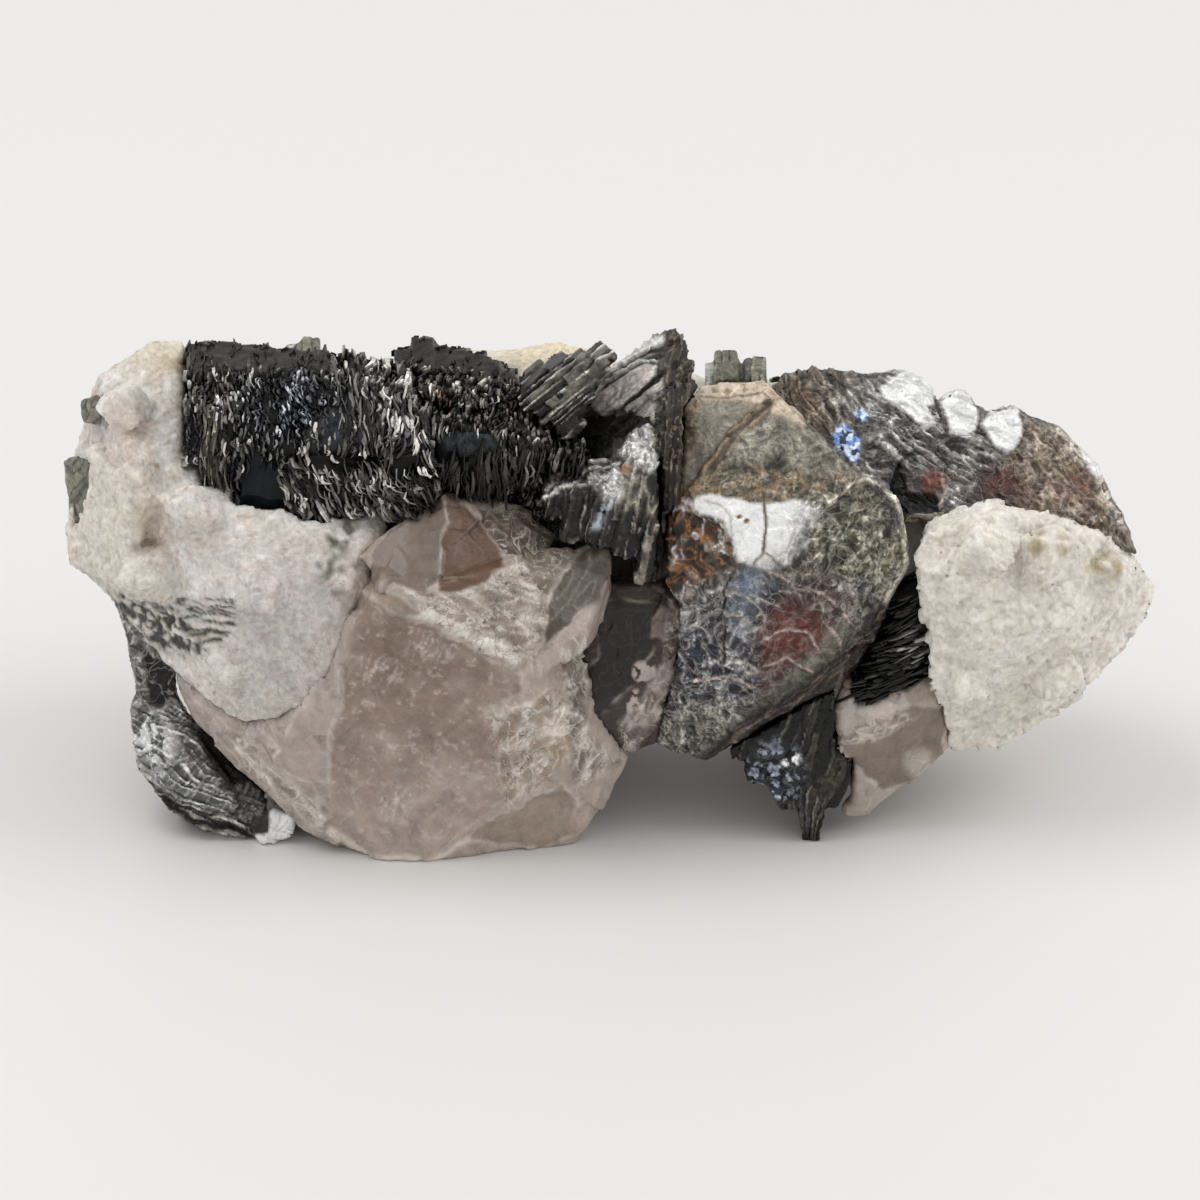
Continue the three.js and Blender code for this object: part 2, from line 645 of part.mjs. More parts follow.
const PIECES = [
  ["front_mica_plate", "silverMica", made(plate, frontPlate)],
  ["silver_mica_book", "silverMica", made(book, [silverBook])],
  ["foot_mica_book", "mica", made(book, [footBook])],
  ["right_mica_fan", "mica", made(book, [rightFanBook])],
  ["tall_mica_book", "mica", made(book, [tallBook])],
  ["dark_mica_edge", "mica", made(book, [darkEdgeBook])],
  ["ledge_mica_book", "mica", made(book, [ledgeBook])],
  ["top_left_mica_book", "mica", made(book, [topLeftBook])],
  ["top_middle_mica_book", "mica", made(book, [topMiddleBook])],
  ["mica_sheaf", "mica", made(book, [sheafBook])],
  ["mica_stub", "mica", made(book, [stubBook])],
  ["small_mica_stub", "mica", made(book, [smallStubBook])],
  ["rear_mica_plate", "silverMica", made(plate, rearPlate)],
  ["lower_left_mica_book", "mica", made(plate, lowerLeftBook)],
  ["left_mica_flakes", "mica", made(plate, leftFlakes)],
  ["upper_left_mica_flakes", "mica", made(plate, upperLeftFlakes)],
  ["back_left_mica_book", "silverMica", made(book, [backLeftBook])],
  ["back_middle_mica_book", "silverMica", made(book, [backMiddleBook])],
  ["back_right_mica_book", "silverMica", made(book, [backRightBook])],
  ["left_feldspar", "feldspar", made(lump, [leftFeldspar, leftEdgeLump, ...leftKnobs])],
  ["white_feldspar_block", "feldspar", made(lump, [whiteBlock, ...whiteKnobs])],
  ["dark_smoky_quartz", "smokyQuartz", made(lump, [darkQuartzBlock])],
  [
    "smoky_quartz",
    "smokyQuartz",
    made(lump, [smokyQuartzBlock, smokyQuartzPeak, smokyQuartzShard, smokyQuartzBand]),
  ],
  ["right_smoky_quartz", "smokyQuartz", made(lump, [rightQuartz])],
  [
    "rear_feldspar",
    "feldspar",
    made(lump, [rearLeftRock, rearRightRock, rearFoot, ...rearKnobs]),
  ],
];

const soil = solidOf(
  new THREE.BoxGeometry(200, 200, SOIL).translate(0, 0, -SOIL / 2),
);

const specimen = new THREE.Group();
specimen.name = "muscovite_mica_specimen";
const pockets = [];
for (const [name, mineral, { kept, pocket }] of PIECES) {
  let solid = kept().subtract(soil);
  if (pockets.length) solid = solid.subtract(joined(pockets));
  pockets.push(pocket());
  const mesh = new THREE.Mesh(
    geometryOf(largest(solid)),
    new THREE.MeshStandardMaterial(MINERALS[mineral]),
  );
  mesh.name = name;
  specimen.add(mesh);
}

const bounds = new THREE.Box3().setFromObject(specimen);
specimen.position.set(
  -(bounds.min.x + bounds.max.x) / 2,
  -(bounds.min.y + bounds.max.y) / 2,
  -bounds.min.z,
);

export default specimen;
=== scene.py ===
"""Looks of the muscovite mica specimen: mica books and plates grown through smoky quartz and
white feldspar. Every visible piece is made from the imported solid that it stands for. Rock and
plates are meshed finely and then painted: colour, roughness and relief are laid on as patches
and lines. Books become dark cores on which thousands of thin curved flakes stand."""

import math
from functools import cache
from itertools import product

import bpy
import numpy as np
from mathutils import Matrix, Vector
from mathutils.bvhtree import BVHTree

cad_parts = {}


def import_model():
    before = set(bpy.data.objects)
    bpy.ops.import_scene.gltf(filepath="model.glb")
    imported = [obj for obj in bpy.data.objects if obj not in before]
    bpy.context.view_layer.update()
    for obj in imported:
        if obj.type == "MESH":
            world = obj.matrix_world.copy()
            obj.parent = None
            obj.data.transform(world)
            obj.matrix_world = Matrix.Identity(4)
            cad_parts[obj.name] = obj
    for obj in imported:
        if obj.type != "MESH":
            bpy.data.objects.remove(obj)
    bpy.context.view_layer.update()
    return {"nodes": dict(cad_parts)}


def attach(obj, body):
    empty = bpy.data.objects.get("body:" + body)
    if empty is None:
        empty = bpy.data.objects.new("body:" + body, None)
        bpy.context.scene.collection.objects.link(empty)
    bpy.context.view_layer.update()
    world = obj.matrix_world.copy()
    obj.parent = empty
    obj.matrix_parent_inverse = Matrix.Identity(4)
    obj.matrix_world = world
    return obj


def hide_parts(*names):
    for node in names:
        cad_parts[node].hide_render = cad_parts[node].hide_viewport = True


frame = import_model()

MM = 0.001
scene = bpy.context.scene

# ---------- where things are ----------
# Places on the specimen are given as seen from its front: u right and v up on a drawing plane
# that leans back by LEAN, in millimetres, from SIGHT, the point of the frame it is looked at.
LEAN = math.radians(25)
SIGHT = np.array([-0.6, -2.333, 13.7])
RIGHT = np.array([1.0, 0.0, 0.0])
UP = np.array([0.0, math.sin(LEAN), math.cos(LEAN)])
OUT = np.array([0.0, -math.cos(LEAN), math.sin(LEAN)])


def seen_at(points):
    """u and v on the drawing plane of points in millimetres."""
    local = points - SIGHT
    return local @ RIGHT, local @ UP


def seen_way(right, up, out):
    """A direction as it looks from the front, as a unit vector of the frame."""
    return unit(right * RIGHT + up * UP + out * OUT)


def unit(ways):
    """Directions made one long."""
    return ways / np.linalg.norm(ways, axis=-1, keepdims=True)


# ---------- noise, the same on every run ----------
NOISE_GAIN = 1.7       # brings smooth noise to about -1 to 1


def lattice(cell, seed):
    """A number from 0 to 1 for each whole-number cell, whose bits large odd factors scramble."""
    x, y, z = (cell[:, k].astype(np.int64) for k in range(3))
    h = (x * 374761393 + y * 668265263 + z * 1440662683 + seed * 974711) & 0xFFFFFFFF
    h = ((h ^ (h >> 13)) * 1274126177) & 0xFFFFFFFF
    h = ((h ^ (h >> 15)) * 2246822519) & 0xFFFFFFFF
    return ((h ^ (h >> 16)) & 0xFFFFFF) / 0x1000000


def noise(points, size, seed=0):
    """Smooth noise from about -1 to 1 with features of that size, in millimetres."""
    q = points / size
    base = np.floor(q)
    f = q - base
    w = f * f * f * (f * (f * 6 - 15) + 10)
    total = np.zeros(len(points))
    for corner in product((0, 1), repeat=3):
        step = np.array(corner)
        cell = base + step
        slope = 2 * np.stack([lattice(cell, seed + k) for k in (1, 2, 3)], axis=1) - 1
        weight = np.prod(np.where(step, w, 1 - w), axis=1)
        total += weight * ((f - step) * slope).sum(axis=1)
    return total * NOISE_GAIN


def rough_noise(points, size, octaves, seed=0):
    """Several layers of noise, each half the size and half the height of the one before."""
    total = np.zeros(len(points))
    for k in range(octaves):
        total += noise(points, size / 2**k, seed + 17 * k) / 2**k
    return total


def creases(points, size, seed=0, sharp=6.0):
    """Thin curved lines: 1 on a line, falling to 0 beside it."""
    return np.exp(-sharp * np.abs(noise(points, size, seed)))


def split_into_grains(points, size, seed):
    """Where each point is in its own grain, and the whole-number cell that stands for the grain."""
    q = points / size
    base = np.floor(q)
    best = np.full(len(q), 9.0)
    place = np.zeros_like(q)
    owner = np.zeros_like(q)
    for corner in product((-1, 0, 1), repeat=3):
        cell = base + np.array(corner)
        jitter = np.stack([lattice(cell, seed + k) for k in (1, 2, 3)], axis=1)
        away = q - cell - jitter
        far = (away * away).sum(axis=1)
        nearer = far < best
        best = np.where(nearer, far, best)
        place[nearer] = away[nearer]
        owner[nearer] = cell[nearer]
    return place, owner


def grains(points, size, seed, tilt, step):
    """The height of a surface broken into flat grains: each is tilted and raised by chance."""
    place, owner = split_into_grains(points, size, seed)
    slope = 2 * np.stack([lattice(owner, seed + k) for k in (7, 8, 9)], axis=1) - 1
    return ((place * slope).sum(axis=1) * tilt + (lattice(owner, seed + 11) - 0.5) * step) * size


def grain_tone(points, size, seed):
    """A number from 0 to 1 that is the same all over each grain."""
    return lattice(split_into_grains(points, size, seed)[1], seed + 13)


# ---------- meshes ----------
def welded(node):
    """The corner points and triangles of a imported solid, with shared corners merged."""
    mesh = frame["nodes"][node].data
    mesh.calc_loop_triangles()
    places = np.empty(len(mesh.vertices) * 3)
    mesh.vertices.foreach_get("co", places)
    corners = np.empty(len(mesh.loop_triangles) * 3, dtype=np.int64)
    mesh.loop_triangles.foreach_get("vertices", corners)
    rounded = np.round(places.reshape(-1, 3) / 1e-7).astype(np.int64)
    _, first, same = np.unique(rounded, axis=0, return_index=True, return_inverse=True)
    return places.reshape(-1, 3)[first], same.reshape(-1)[corners].reshape(-1, 3)


def mesh_object(name, points, faces):
    """A mesh object in the scene; the points are in metres."""
    mesh = bpy.data.meshes.new(name)
    mesh.from_pydata(points.tolist(), [], faces.tolist())
    mesh.update()
    obj = bpy.data.objects.new(name, mesh)
    scene.collection.objects.link(obj)
    return obj


def fine_surface(node, voxel):
    """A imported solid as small, even, four-sided faces: points and normals in millimetres."""
    points, triangles = welded(node)
    obj = mesh_object("draft", points, triangles)
    remesh = obj.modifiers.new("fine", "REMESH")
    remesh.mode = "VOXEL"
    remesh.voxel_size = voxel * MM
    mesh = obj.evaluated_get(bpy.context.evaluated_depsgraph_get()).data
    places, ways = np.empty(len(mesh.vertices) * 3), np.empty(len(mesh.vertices) * 3)
    mesh.vertices.foreach_get("co", places)
    mesh.vertices.foreach_get("normal", ways)
    quads = np.empty(len(mesh.loops), dtype=np.int64)
    mesh.loops.foreach_get("vertex_index", quads)
    bpy.data.objects.remove(obj)
    return places.reshape(-1, 3) / MM, ways.reshape(-1, 3), quads.reshape(-1, 4)


@cache
def every_solid():
    """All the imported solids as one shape, in millimetres, for rays to be cast at."""
    points = []
    triangles = []
    for node in frame["nodes"]:
        corners, faces = welded(node)
        triangles += (faces + len(points)).tolist()
        points += (corners / MM).tolist()
    return BVHTree.FromPolygons(points, triangles)


# how far rays look, in millimetres, and how far off their surface they start
SIGHT_REACH = 30.0
HIDING_GAP = 1.5
COVERING_GAP = 2.0
RAY_START = 0.5


def meets_solid(start, way, reach):
    """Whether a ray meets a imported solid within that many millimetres."""
    return every_solid().ray_cast(Vector(start), Vector(way), reach)[0] is not None


def hidden(place, way):
    """Whether a solid stands in front of a point of a surface, or close over it."""
    in_front = meets_solid(place + RAY_START * OUT + 0.2 * way, OUT, SIGHT_REACH)
    return in_front or meets_solid(place + RAY_START * way, way, HIDING_GAP)


def covered(place, way):
    """Whether a solid stands close over a point of a surface."""
    return meets_solid(place + RAY_START * way, way, COVERING_GAP)


def find(test, places, ways):
    """Which points of a surface pass a test."""
    return np.array([test(place, way) for place, way in zip(places, ways)], dtype=bool)


def finer(places, ways, quads):
    """Splits every face that can be seen from the front into four."""
    middle = places[quads].mean(axis=1)
    facing = unit(ways[quads].mean(axis=1))
    seen = facing @ OUT > 0.1
    seen[seen] = ~find(hidden, middle[seen], facing[seen])
    split = quads[seen]
    edges = np.stack([split, np.roll(split, -1, axis=1)], axis=2).reshape(-1, 2)
    pairs, which = np.unique(np.sort(edges, axis=1), axis=0, return_inverse=True)
    between = len(places) + which.reshape(-1, 4)
    centre = len(places) + len(pairs) + np.arange(len(split))
    corners = [np.stack([split[:, k], between[:, k], centre, between[:, k - 1]], axis=1) for k in range(4)]
    places = np.vstack([places, places[pairs].mean(axis=1), places[split].mean(axis=1)])
    ways = np.vstack([ways, ways[pairs].mean(axis=1), ways[split].mean(axis=1)])
    return places, unit(ways), np.vstack([quads[~seen]] + corners)


FLOOR_GAP = 0.02       # how far above the floor the lowest points stay, in millimetres


def on_floor(points):
    """Lifts to the floor any point that relief has pushed below it."""
    return np.column_stack([points[:, :2], np.maximum(points[:, 2], FLOOR_GAP)])


def keep_on(obj, name, kind, field, values):
    """Keeps a value of each point on the mesh, for its material to read."""
    layer = obj.data.attributes.new(name, kind, "POINT")
    layer.data.foreach_set(field, np.ascontiguousarray(values, dtype=np.float64).ravel())


def paint(obj, colours):
    """Keeps a colour for each point, which the materials read as tint."""
    rgba = np.ones((len(colours), 4))
    rgba[:, :3] = held(colours)
    keep_on(obj, "tint", "FLOAT_COLOR", "color", rgba)


def stand_for(obj, node, material):
    """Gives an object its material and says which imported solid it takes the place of."""
    obj.data.materials.append(material)
    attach(obj, "root")
    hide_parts(node)


# ---------- painting ----------
def held(values):
    """Values held between 0 and 1."""
    return np.clip(values, 0, 1)


def line_distance(u, v, line):
    """How far each point of the drawing plane is from a line through some points."""
    best = np.full(len(u), 99.0)
    for (a, b), (c, d) in zip(line[:-1], line[1:]):
        run, rise = c - a, d - b
        share = held(((u - a) * run + (v - b) * rise) / (run * run + rise * rise))
        best = np.minimum(best, np.hypot(u - a - share * run, v - b - share * rise))
    return best


def depth_inside(u, v, outline):
    """How far inside a closed outline each point is; negative outside it."""
    inside = np.zeros(len(u), dtype=bool)
    closed = list(outline) + [outline[0]]
    for (a, b), (c, d) in zip(closed[:-1], closed[1:]):
        if b != d:
            inside ^= ((b > v) != (d > v)) & (u < a + (v - b) * (c - a) / (d - b))
    away = line_distance(u, v, closed)
    return np.where(inside, away, -away)


def turned(u, v, angle):
    """Where points are along and across a line that rises at that many degrees."""
    c, s = math.cos(math.radians(angle)), math.sin(math.radians(angle))
    return u * c + v * s, v * c - u * s


def spot(u, v, centre, radii, soft=0.35, turn=0.0):
    """1 inside an ellipse of the drawing plane, 0 outside, with a soft edge."""
    run, across = turned(u - centre[0], v - centre[1], turn)
    r = np.hypot(run / radii[0], across / radii[1])
    return held((1 + soft - r) / (2 * soft))


LEAST_ROUGH = 0.05


class Canvas:
    """A finely meshed piece while it is painted. Every point has a colour, a roughness, a shine
    like metal's, a vein: how much its material draws thin lines there, a crumple: how much painted
    light and shade like that of crumpled foil it gets, and a lift: how far it is moved along its
    normal, in millimetres."""

    def __init__(self, node, voxel, colour, rough=0.5, metal=0.0, vein=0.0, crumple=0.6, splits=1,
                 wobble=0.12):
        surface = fine_surface(node, voxel)
        for _ in range(splits):
            surface = finer(*surface)
        self.node = node
        self.mm, self.ways, self.quads = surface
        count = len(self.mm)
        self.tint = np.tile(colour, (count, 1)).astype(float)
        values = {"rough": rough, "metal": metal, "vein": vein, "crumple": crumple}
        # what the materials read besides the colour
        self.kept = {name: np.full(count, float(value)) for name, value in values.items()}
        self.lift = np.zeros(count)
        u, v = seen_at(self.mm)
        self.u = u + wobble * rough_noise(self.mm, 1.1, 3, 901)
        self.v = v + wobble * rough_noise(self.mm, 1.1, 3, 907)

    def noise(self, size, seed, octaves=1):
        """Several layers of smooth noise at the points of the piece."""
        return rough_noise(self.mm, size, octaves, seed)

    def fibres(self, long, short, angle, seed, sharp=5.0, wave=0.2):
        """Thin wavy lines that run at an angle on the drawing plane."""
        run, across = turned(self.u, self.v, angle)
        across = across / short + wave * self.noise(0.7 * long, seed + 9)
        return creases(np.stack([run / long, across, self.mm[:, 1] / long], axis=1), 1.0, seed, sharp)

    def curls(self, size, seed, sharp=7.0):
        """Thin lines that curl and branch."""
        bent = np.stack([self.noise(1.2 * size, seed + k) for k in (1, 4, 7)], axis=1)
        return creases(self.mm + 0.6 * size * bent, size, seed, sharp)

    def leaves(self, angle, thick, long, seed, wave=0.2):
        """Leaves seen edge on, about as thick as that and broken about every long millimetres:
        a tone from 0 to 1 for each, the lit parts of its upper edge, which take a painted highlight,
        and the dark gap below it, which takes painted shade."""
        run, across = turned(self.u, self.v, angle)
        zero = np.zeros(len(run))
        across = across / thick + wave * self.noise(3.0, seed)
        across += 0.9 * noise(np.stack([across, zero, zero], axis=1), 2.5, seed + 1)
        row = np.floor(across)
        shift = lattice(np.stack([row, zero, zero], axis=1), seed + 2)
        piece = np.floor(run / long + 5 * shift + 0.3 * self.noise(1.0, seed + 3))
        tone = lattice(np.stack([row, piece, zero], axis=1), seed + 4)
        height = across - row
        broken = held(0.35 + 1.5 * self.noise(1.3, seed + 5, 2))
        # lit is where a painted highlight goes on each leaf's upper edge; gap is where painted shade goes
        # below it
        lit = broken * held(5 * height - 3.6) * held(20 - 20 * height)
        gap = held(1.3 - 5 * height) * held(0.7 - 1.2 * self.noise(1.7, seed + 6))
        return tone, lit, gap

    def patch(self, *outline, soft=0.1):
        """How far each point is inside an outline: 1 in it, 0 outside, with a soft edge."""
        return held(0.5 + depth_inside(self.u, self.v, outline) / (2 * soft))

    def line(self, *points, width=0.1):
        """A line through some points: 1 on it, fading out over its width."""
        return np.exp(-((line_distance(self.u, self.v, points) / width) ** 2))

    def spot(self, centre, radii, soft=0.35, turn=0.0):
        """An ellipse: 1 in it, 0 outside, with a soft edge."""
        return spot(self.u, self.v, centre, radii, soft, turn)

    def put(self, weight, colour=None, rough=None, metal=None, lift=0.0, vein=None, crumple=None):
        """Lays a colour and the rest on, as thick as the weight says. The numbers after the colour
        are rough, metal, lift, vein and crumple; one that is None or left out stays as it is."""
        weight = held(weight) * np.ones(len(self.u))
        if colour is not None:
            self.tint += (np.array(colour) - self.tint) * weight[:, None]
        for name, value in {"rough": rough, "metal": metal, "vein": vein, "crumple": crumple}.items():
            if value is not None:
                self.kept[name] += (value - self.kept[name]) * weight
        self.lift += lift * weight

    def face(self, outline, colour, rough=None, lift=0.0, rim=0.0, rim_colour=(0.70, 0.64, 0.58), soft=0.08):
        """A broken face: a flat clear colour inside an outline, with a pale broken rim."""
        depth = depth_inside(self.u, self.v, outline)
        self.put(held(0.5 + depth / (2 * soft)), colour, rough, None, lift, 0.03)
        broken = held(0.45 + 1.1 * noise(self.mm, 0.9, 911))
        self.put(0.9 * rim * broken * np.exp(-((depth / 0.11) ** 2)), rim_colour, 0.4, None, 0.06)

    def done(self, material, smooth=True):
        """Makes the painted piece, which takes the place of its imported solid."""
        obj = mesh_object(self.node + "_surface", on_floor(self.mm + self.ways * self.lift[:, None]) * MM,
                          self.quads)
        if smooth:
            obj.data.shade_smooth()
        paint(obj, self.tint)
        for name, values in self.kept.items():
            least = LEAST_ROUGH if name == "rough" else 0
            keep_on(obj, name, "FLOAT", "value", np.clip(values, least, 1))
        stand_for(obj, self.node, material)


# ---------- materials ----------
class Shader:
    """A Principled material with short helpers for its nodes. Every value that a helper takes is a
    plain one or the output of another node."""

    def __init__(self, name):
        self.material = bpy.data.materials.new(name)
        self.material.use_nodes = True
        self.nodes = self.material.node_tree.nodes
        self.bsdf = self.nodes["Principled BSDF"]
        self.where = self.nodes.new("ShaderNodeTexCoord").outputs["Object"]

    def feed(self, node, inputs):
        """Gives inputs of a node their values."""
        for name, value in inputs.items():
            if isinstance(value, bpy.types.NodeSocket):
                self.material.node_tree.links.new(value, node.inputs[name])
            else:
                node.inputs[name].default_value = value

    def node(self, kind, inputs, **settings):
        """A new node with its settings and the values of its inputs."""
        node = self.nodes.new("ShaderNode" + kind)
        for name, value in settings.items():
            setattr(node, name, value)
        self.feed(node, inputs)
        return node

    def kept(self, name, output="Fac"):
        """A value that is kept on the mesh."""
        return self.node("Attribute", {}, attribute_name=name).outputs[output]

    def noise(self, size, detail=3.0, warp=0.0):
        """Noise with features of about that size in millimetres."""
        inputs = {"Scale": 1 / (size * MM), "Detail": detail, "Distortion": warp, "Vector": self.where}
        return self.node("TexNoise", inputs).outputs["Fac"]

    def cells(self, size):
        """A chance value for each cell of that size in millimetres."""
        return self.node("TexVoronoi", {"Scale": 1 / (size * MM), "Vector": self.where}).outputs["Color"]

    def ramp(self, value, *stops):
        """Changes a value by stops, each a place and the grey tone it gives."""
        node = self.node("ValToRGB", {"Fac": value})
        elements = node.color_ramp.elements
        while len(elements) < len(stops):
            elements.new(0.5)
        for element, (place, tone) in zip(elements, stops):
            element.position = place
            element.color = (tone, tone, tone, 1)
        return node.outputs["Color"]

    def lines(self, size, detail, warp, thin):
        """Thin lines that cross and branch: 1 on a line, 0 beside it."""
        return self.ramp(self.noise(size, detail, warp), (0.5 - thin, 0.0), (0.5, 1.0), (0.5 + thin, 0.0))

    def number(self, how, a, b):
        """The product of two numbers, the larger one, or the like."""
        return self.node("Math", {0: a, 1: b}, operation=how).outputs[0]

    def mix(self, share, below, above, blend="MIX"):
        """A colour laid over another, as thick as share says."""
        inputs = {0: share, 6: below, 7: above}
        return self.node("Mix", inputs, data_type="RGBA", blend_type=blend).outputs[2]

    def times(self, a, b):
        """The product of two colours."""
        return self.mix(1.0, a, b, "MULTIPLY")

    def bump(self, *heights):
        """Bumps the surface by some values, each with its depth in millimetres, coarse ones first."""
        bumped = {}
        for value, depth in heights:
            node = self.node("Bump", {"Distance": depth * MM, "Height": value, **bumped})
            bumped = {"Normal": node.outputs["Normal"]}
        self.feed(self.bsdf, bumped)


def feldspar_material():
    """Sugary feldspar that lets light in, with fine dark cracks where vein says so."""
    s = Shader("sugary_feldspar")
    grain = s.times(s.ramp(s.noise(0.35, 5), (0.3, 0.82), (0.7, 1.12)),
                    s.ramp(s.noise(1.3, 6, 0.5), (0.3, 0.84), (0.7, 1.12)))
    cracks = s.number("MULTIPLY", s.lines(1.1, 5, 1.0, 0.016), s.kept("vein"))
    s.feed(s.bsdf, {
        "Base Color": s.mix(cracks, s.times(s.kept("tint", "Color"), grain), (0.30, 0.255, 0.20, 1)),
        "Roughness": s.ramp(s.cells(0.4), (0.0, 0.12), (0.3, 0.4), (1.0, 0.65)),
        "Subsurface Weight": 0.4, "Subsurface Scale": 1.0 * MM, "Subsurface Radius": (1.0, 0.85, 0.7)})
    s.bump((s.cells(0.5), 0.06), (s.noise(0.2, 4), 0.05))
    return s.material


def quartz_material():
    """Smoky quartz: a clouded body, crossed by pale fracture lines where vein says so."""
    s = Shader("broken_smoky_quartz")
    cloud = s.times(s.ramp(s.noise(1.4, 6, 0.8), (0.3, 0.8), (0.7, 1.18)),
                    s.ramp(s.noise(0.2, 3), (0.3, 0.93), (0.7, 1.07)))
    fractures = s.number("MAXIMUM", s.lines(3.0, 1.5, 0.6, 0.014), s.lines(1.2, 1.5, 0.9, 0.028))
    share = s.number("MULTIPLY", fractures, s.kept("vein"))
    s.feed(s.bsdf, {
        "Base Color": s.mix(share, s.times(s.kept("tint", "Color"), cloud), (*PALE, 1)),
        "Roughness": s.kept("rough"), "IOR": 1.54, "Specular IOR Level": 0.4,
        "Subsurface Weight": 0.2, "Subsurface Scale": 0.6 * MM, "Subsurface Radius": (1.0, 0.82, 0.7)})
    s.bump((s.noise(1.6, 5), 0.12), (share, 0.08), (s.noise(0.3, 3), 0.02))
    return s.material


def mica_edge_material():
    """The edges of mica leaves in their painted colours."""
    s = Shader("mica_leaf_edges")
    speck = s.ramp(s.noise(0.18, 4), (0.35, 0.7), (0.7, 1.2))
    s.feed(s.bsdf, {
        "Base Color": s.times(s.kept("tint", "Color"), speck),
        "Roughness": s.kept("rough"), "Metallic": s.kept("metal"), "Specular IOR Level": 0.25})
    s.bump((s.noise(0.3, 4), 0.03))
    return s.material


def mica_face_material():
    """The faces of mica leaves in their painted colours: with painted light and shade like that of
    crumpled foil where crumple says so, and crossed by thin pale folds where vein says so."""
    s = Shader("mica_leaf_faces")
    hollow = s.noise(1.3, 5, 2.2)
    ripple = s.noise(0.32, 3, 1.2)
    # painted light and shade: dark hollows and bright ridges of crumpled foil, laid into the colour
    shade = s.times(s.ramp(hollow, (0.34, 0.15), (0.46, 0.75), (0.52, 1.1), (0.64, 1.8)),
                    s.ramp(ripple, (0.36, 0.45), (0.5, 1.0), (0.64, 1.4)))
    crumpled = s.mix(s.kept("crumple"), (1, 1, 1, 1), shade)
    folds = s.number("MAXIMUM", s.lines(3.2, 1.2, 0.7, 0.013), s.lines(1.3, 1.5, 1.0, 0.026))
    share = s.number("MULTIPLY", folds, s.kept("vein"))
    s.feed(s.bsdf, {
        "Base Color": s.mix(share, s.times(s.kept("tint", "Color"), crumpled), (*FOLD_LIGHT, 1)),
        "Roughness": s.kept("rough"), "Metallic": s.kept("metal"), "Specular IOR Level": 0.35})
    s.bump((hollow, 0.15), (share, 0.05), (ripple, 0.06))
    return s.material


PALE = (0.80, 0.73, 0.66)
BRIGHT = (0.92, 0.86, 0.79)
FOLD_LIGHT = (0.60, 0.57, 0.53)
FELDSPAR = feldspar_material()
QUARTZ = quartz_material()
MICA_EDGES = mica_edge_material()
MICA_FACES = mica_face_material()


# ---------- feldspar ----------
SEAM = 0.15        # how far each rock swells to close the seam between it and the next
# where the left feldspar ends on the quartz
FELDSPAR_FOOT = ((-16.4, 1), (-17.2, -3), (-19.5, -7), (-22.5, -8.2), (-26, -6.5))


def sugary(canvas, swell, big, small, crisp=1):
    """Gives a mass of feldspar its relief: slow swells, then coarse and fine flat grains."""
    canvas.lift += SEAM + swell * canvas.noise(4, 3, 3)
    canvas.lift += grains(canvas.mm, big, 11, 0.12 * crisp, 0.08 * crisp)
    canvas.lift += grains(canvas.mm, small, 23, 0.26 * crisp, 0.15 * crisp)


def left_feldspar():
    """White, pinkish and tan grains, with some stray mica in them."""
    c = Canvas("left_feldspar", 0.31, (0.76, 0.715, 0.66), vein=0.35)
    cloud = c.noise(2.6, 41)
    c.put(cloud, (0.86, 0.83, 0.79))
    c.put(0.8 * c.noise(1.6, 43), (0.68, 0.59, 0.52))
    c.put(0.8 * c.noise(0.9, 45, 2), (0.93, 0.92, 0.9))
    c.put(1.4 * (c.noise(0.7, 46, 2) - 0.4), (0.5, 0.4, 0.31))
    c.put(0.6 * c.spot((-32.2, 3.5), (3, 5.5)), (0.76, 0.71, 0.61))
    c.put(0.7 * c.spot((-20, -2.5), (4.5, 6)) * (0.7 + 0.5 * cloud), (0.47, 0.43, 0.42), vein=0.6)
    c.put(0.8 * c.spot((-28.6, 16.4), (3.6, 1.5)) * (0.6 + 0.6 * cloud), (0.8, 0.7, 0.47))
    c.put(0.6 * c.spot((-27.7, 15.4), (0.9, 0.5)), (0.36, 0.22, 0.1))
    c.put(0.35 * c.spot((-31, 11), (1.2, 2.6), turn=20), (0.66, 0.5, 0.42))
    c.put(0.5 * c.spot((-29.6, 5.5), (1, 2.6), turn=10), (0.6, 0.49, 0.39))
    # stray mica: olive leaves, a dark grey streak, and a few spots beside the quartz
    olive = c.patch((-28, 0.2), (-24, 0.1), (-24, -1.8), (-25.2, -3), (-26.6, -3), (-28.2, -1.2))
    c.put(1.3 * olive * c.fibres(2.4, 0.35, -8, 47), (0.06, 0.055, 0.035), 0.35, None, -0.12)
    grey = c.patch((-32.6, 0.6), (-29.8, -0.2), (-28, -0.6), (-26, -3.4), (-28, -3.6), (-30.2, -2.8),
                   (-31.4, -1.6), soft=0.4)
    streaks = held(0.15 + 1.5 * c.noise(0.8, 50, 2)) + c.fibres(1.4, 0.45, -35, 49)
    c.put(1.2 * grey * streaks, (0.035, 0.035, 0.03), 0.3, None, -0.1)
    beside_quartz = np.maximum(c.spot((-17.4, 3.2), (0.9, 2.4), turn=-25), c.spot((-17.2, 0.6), (0.5, 1.4)))
    c.put(1.4 * beside_quartz * (0.35 + c.noise(0.7, 53)), (0.13, 0.125, 0.085))
    # where it thins out over the quartz it lets the quartz's brown through
    edge = c.line(*FELDSPAR_FOOT, width=1.3)
    c.put(0.55 * edge, (0.6, 0.53, 0.48), vein=0.9)
    c.put(c.spot((-16.1, 0.9), (1, 1)), lift=0.4)
    sugary(c, 0.05, 1.3, 0.5, 0.7)
    c.done(FELDSPAR)


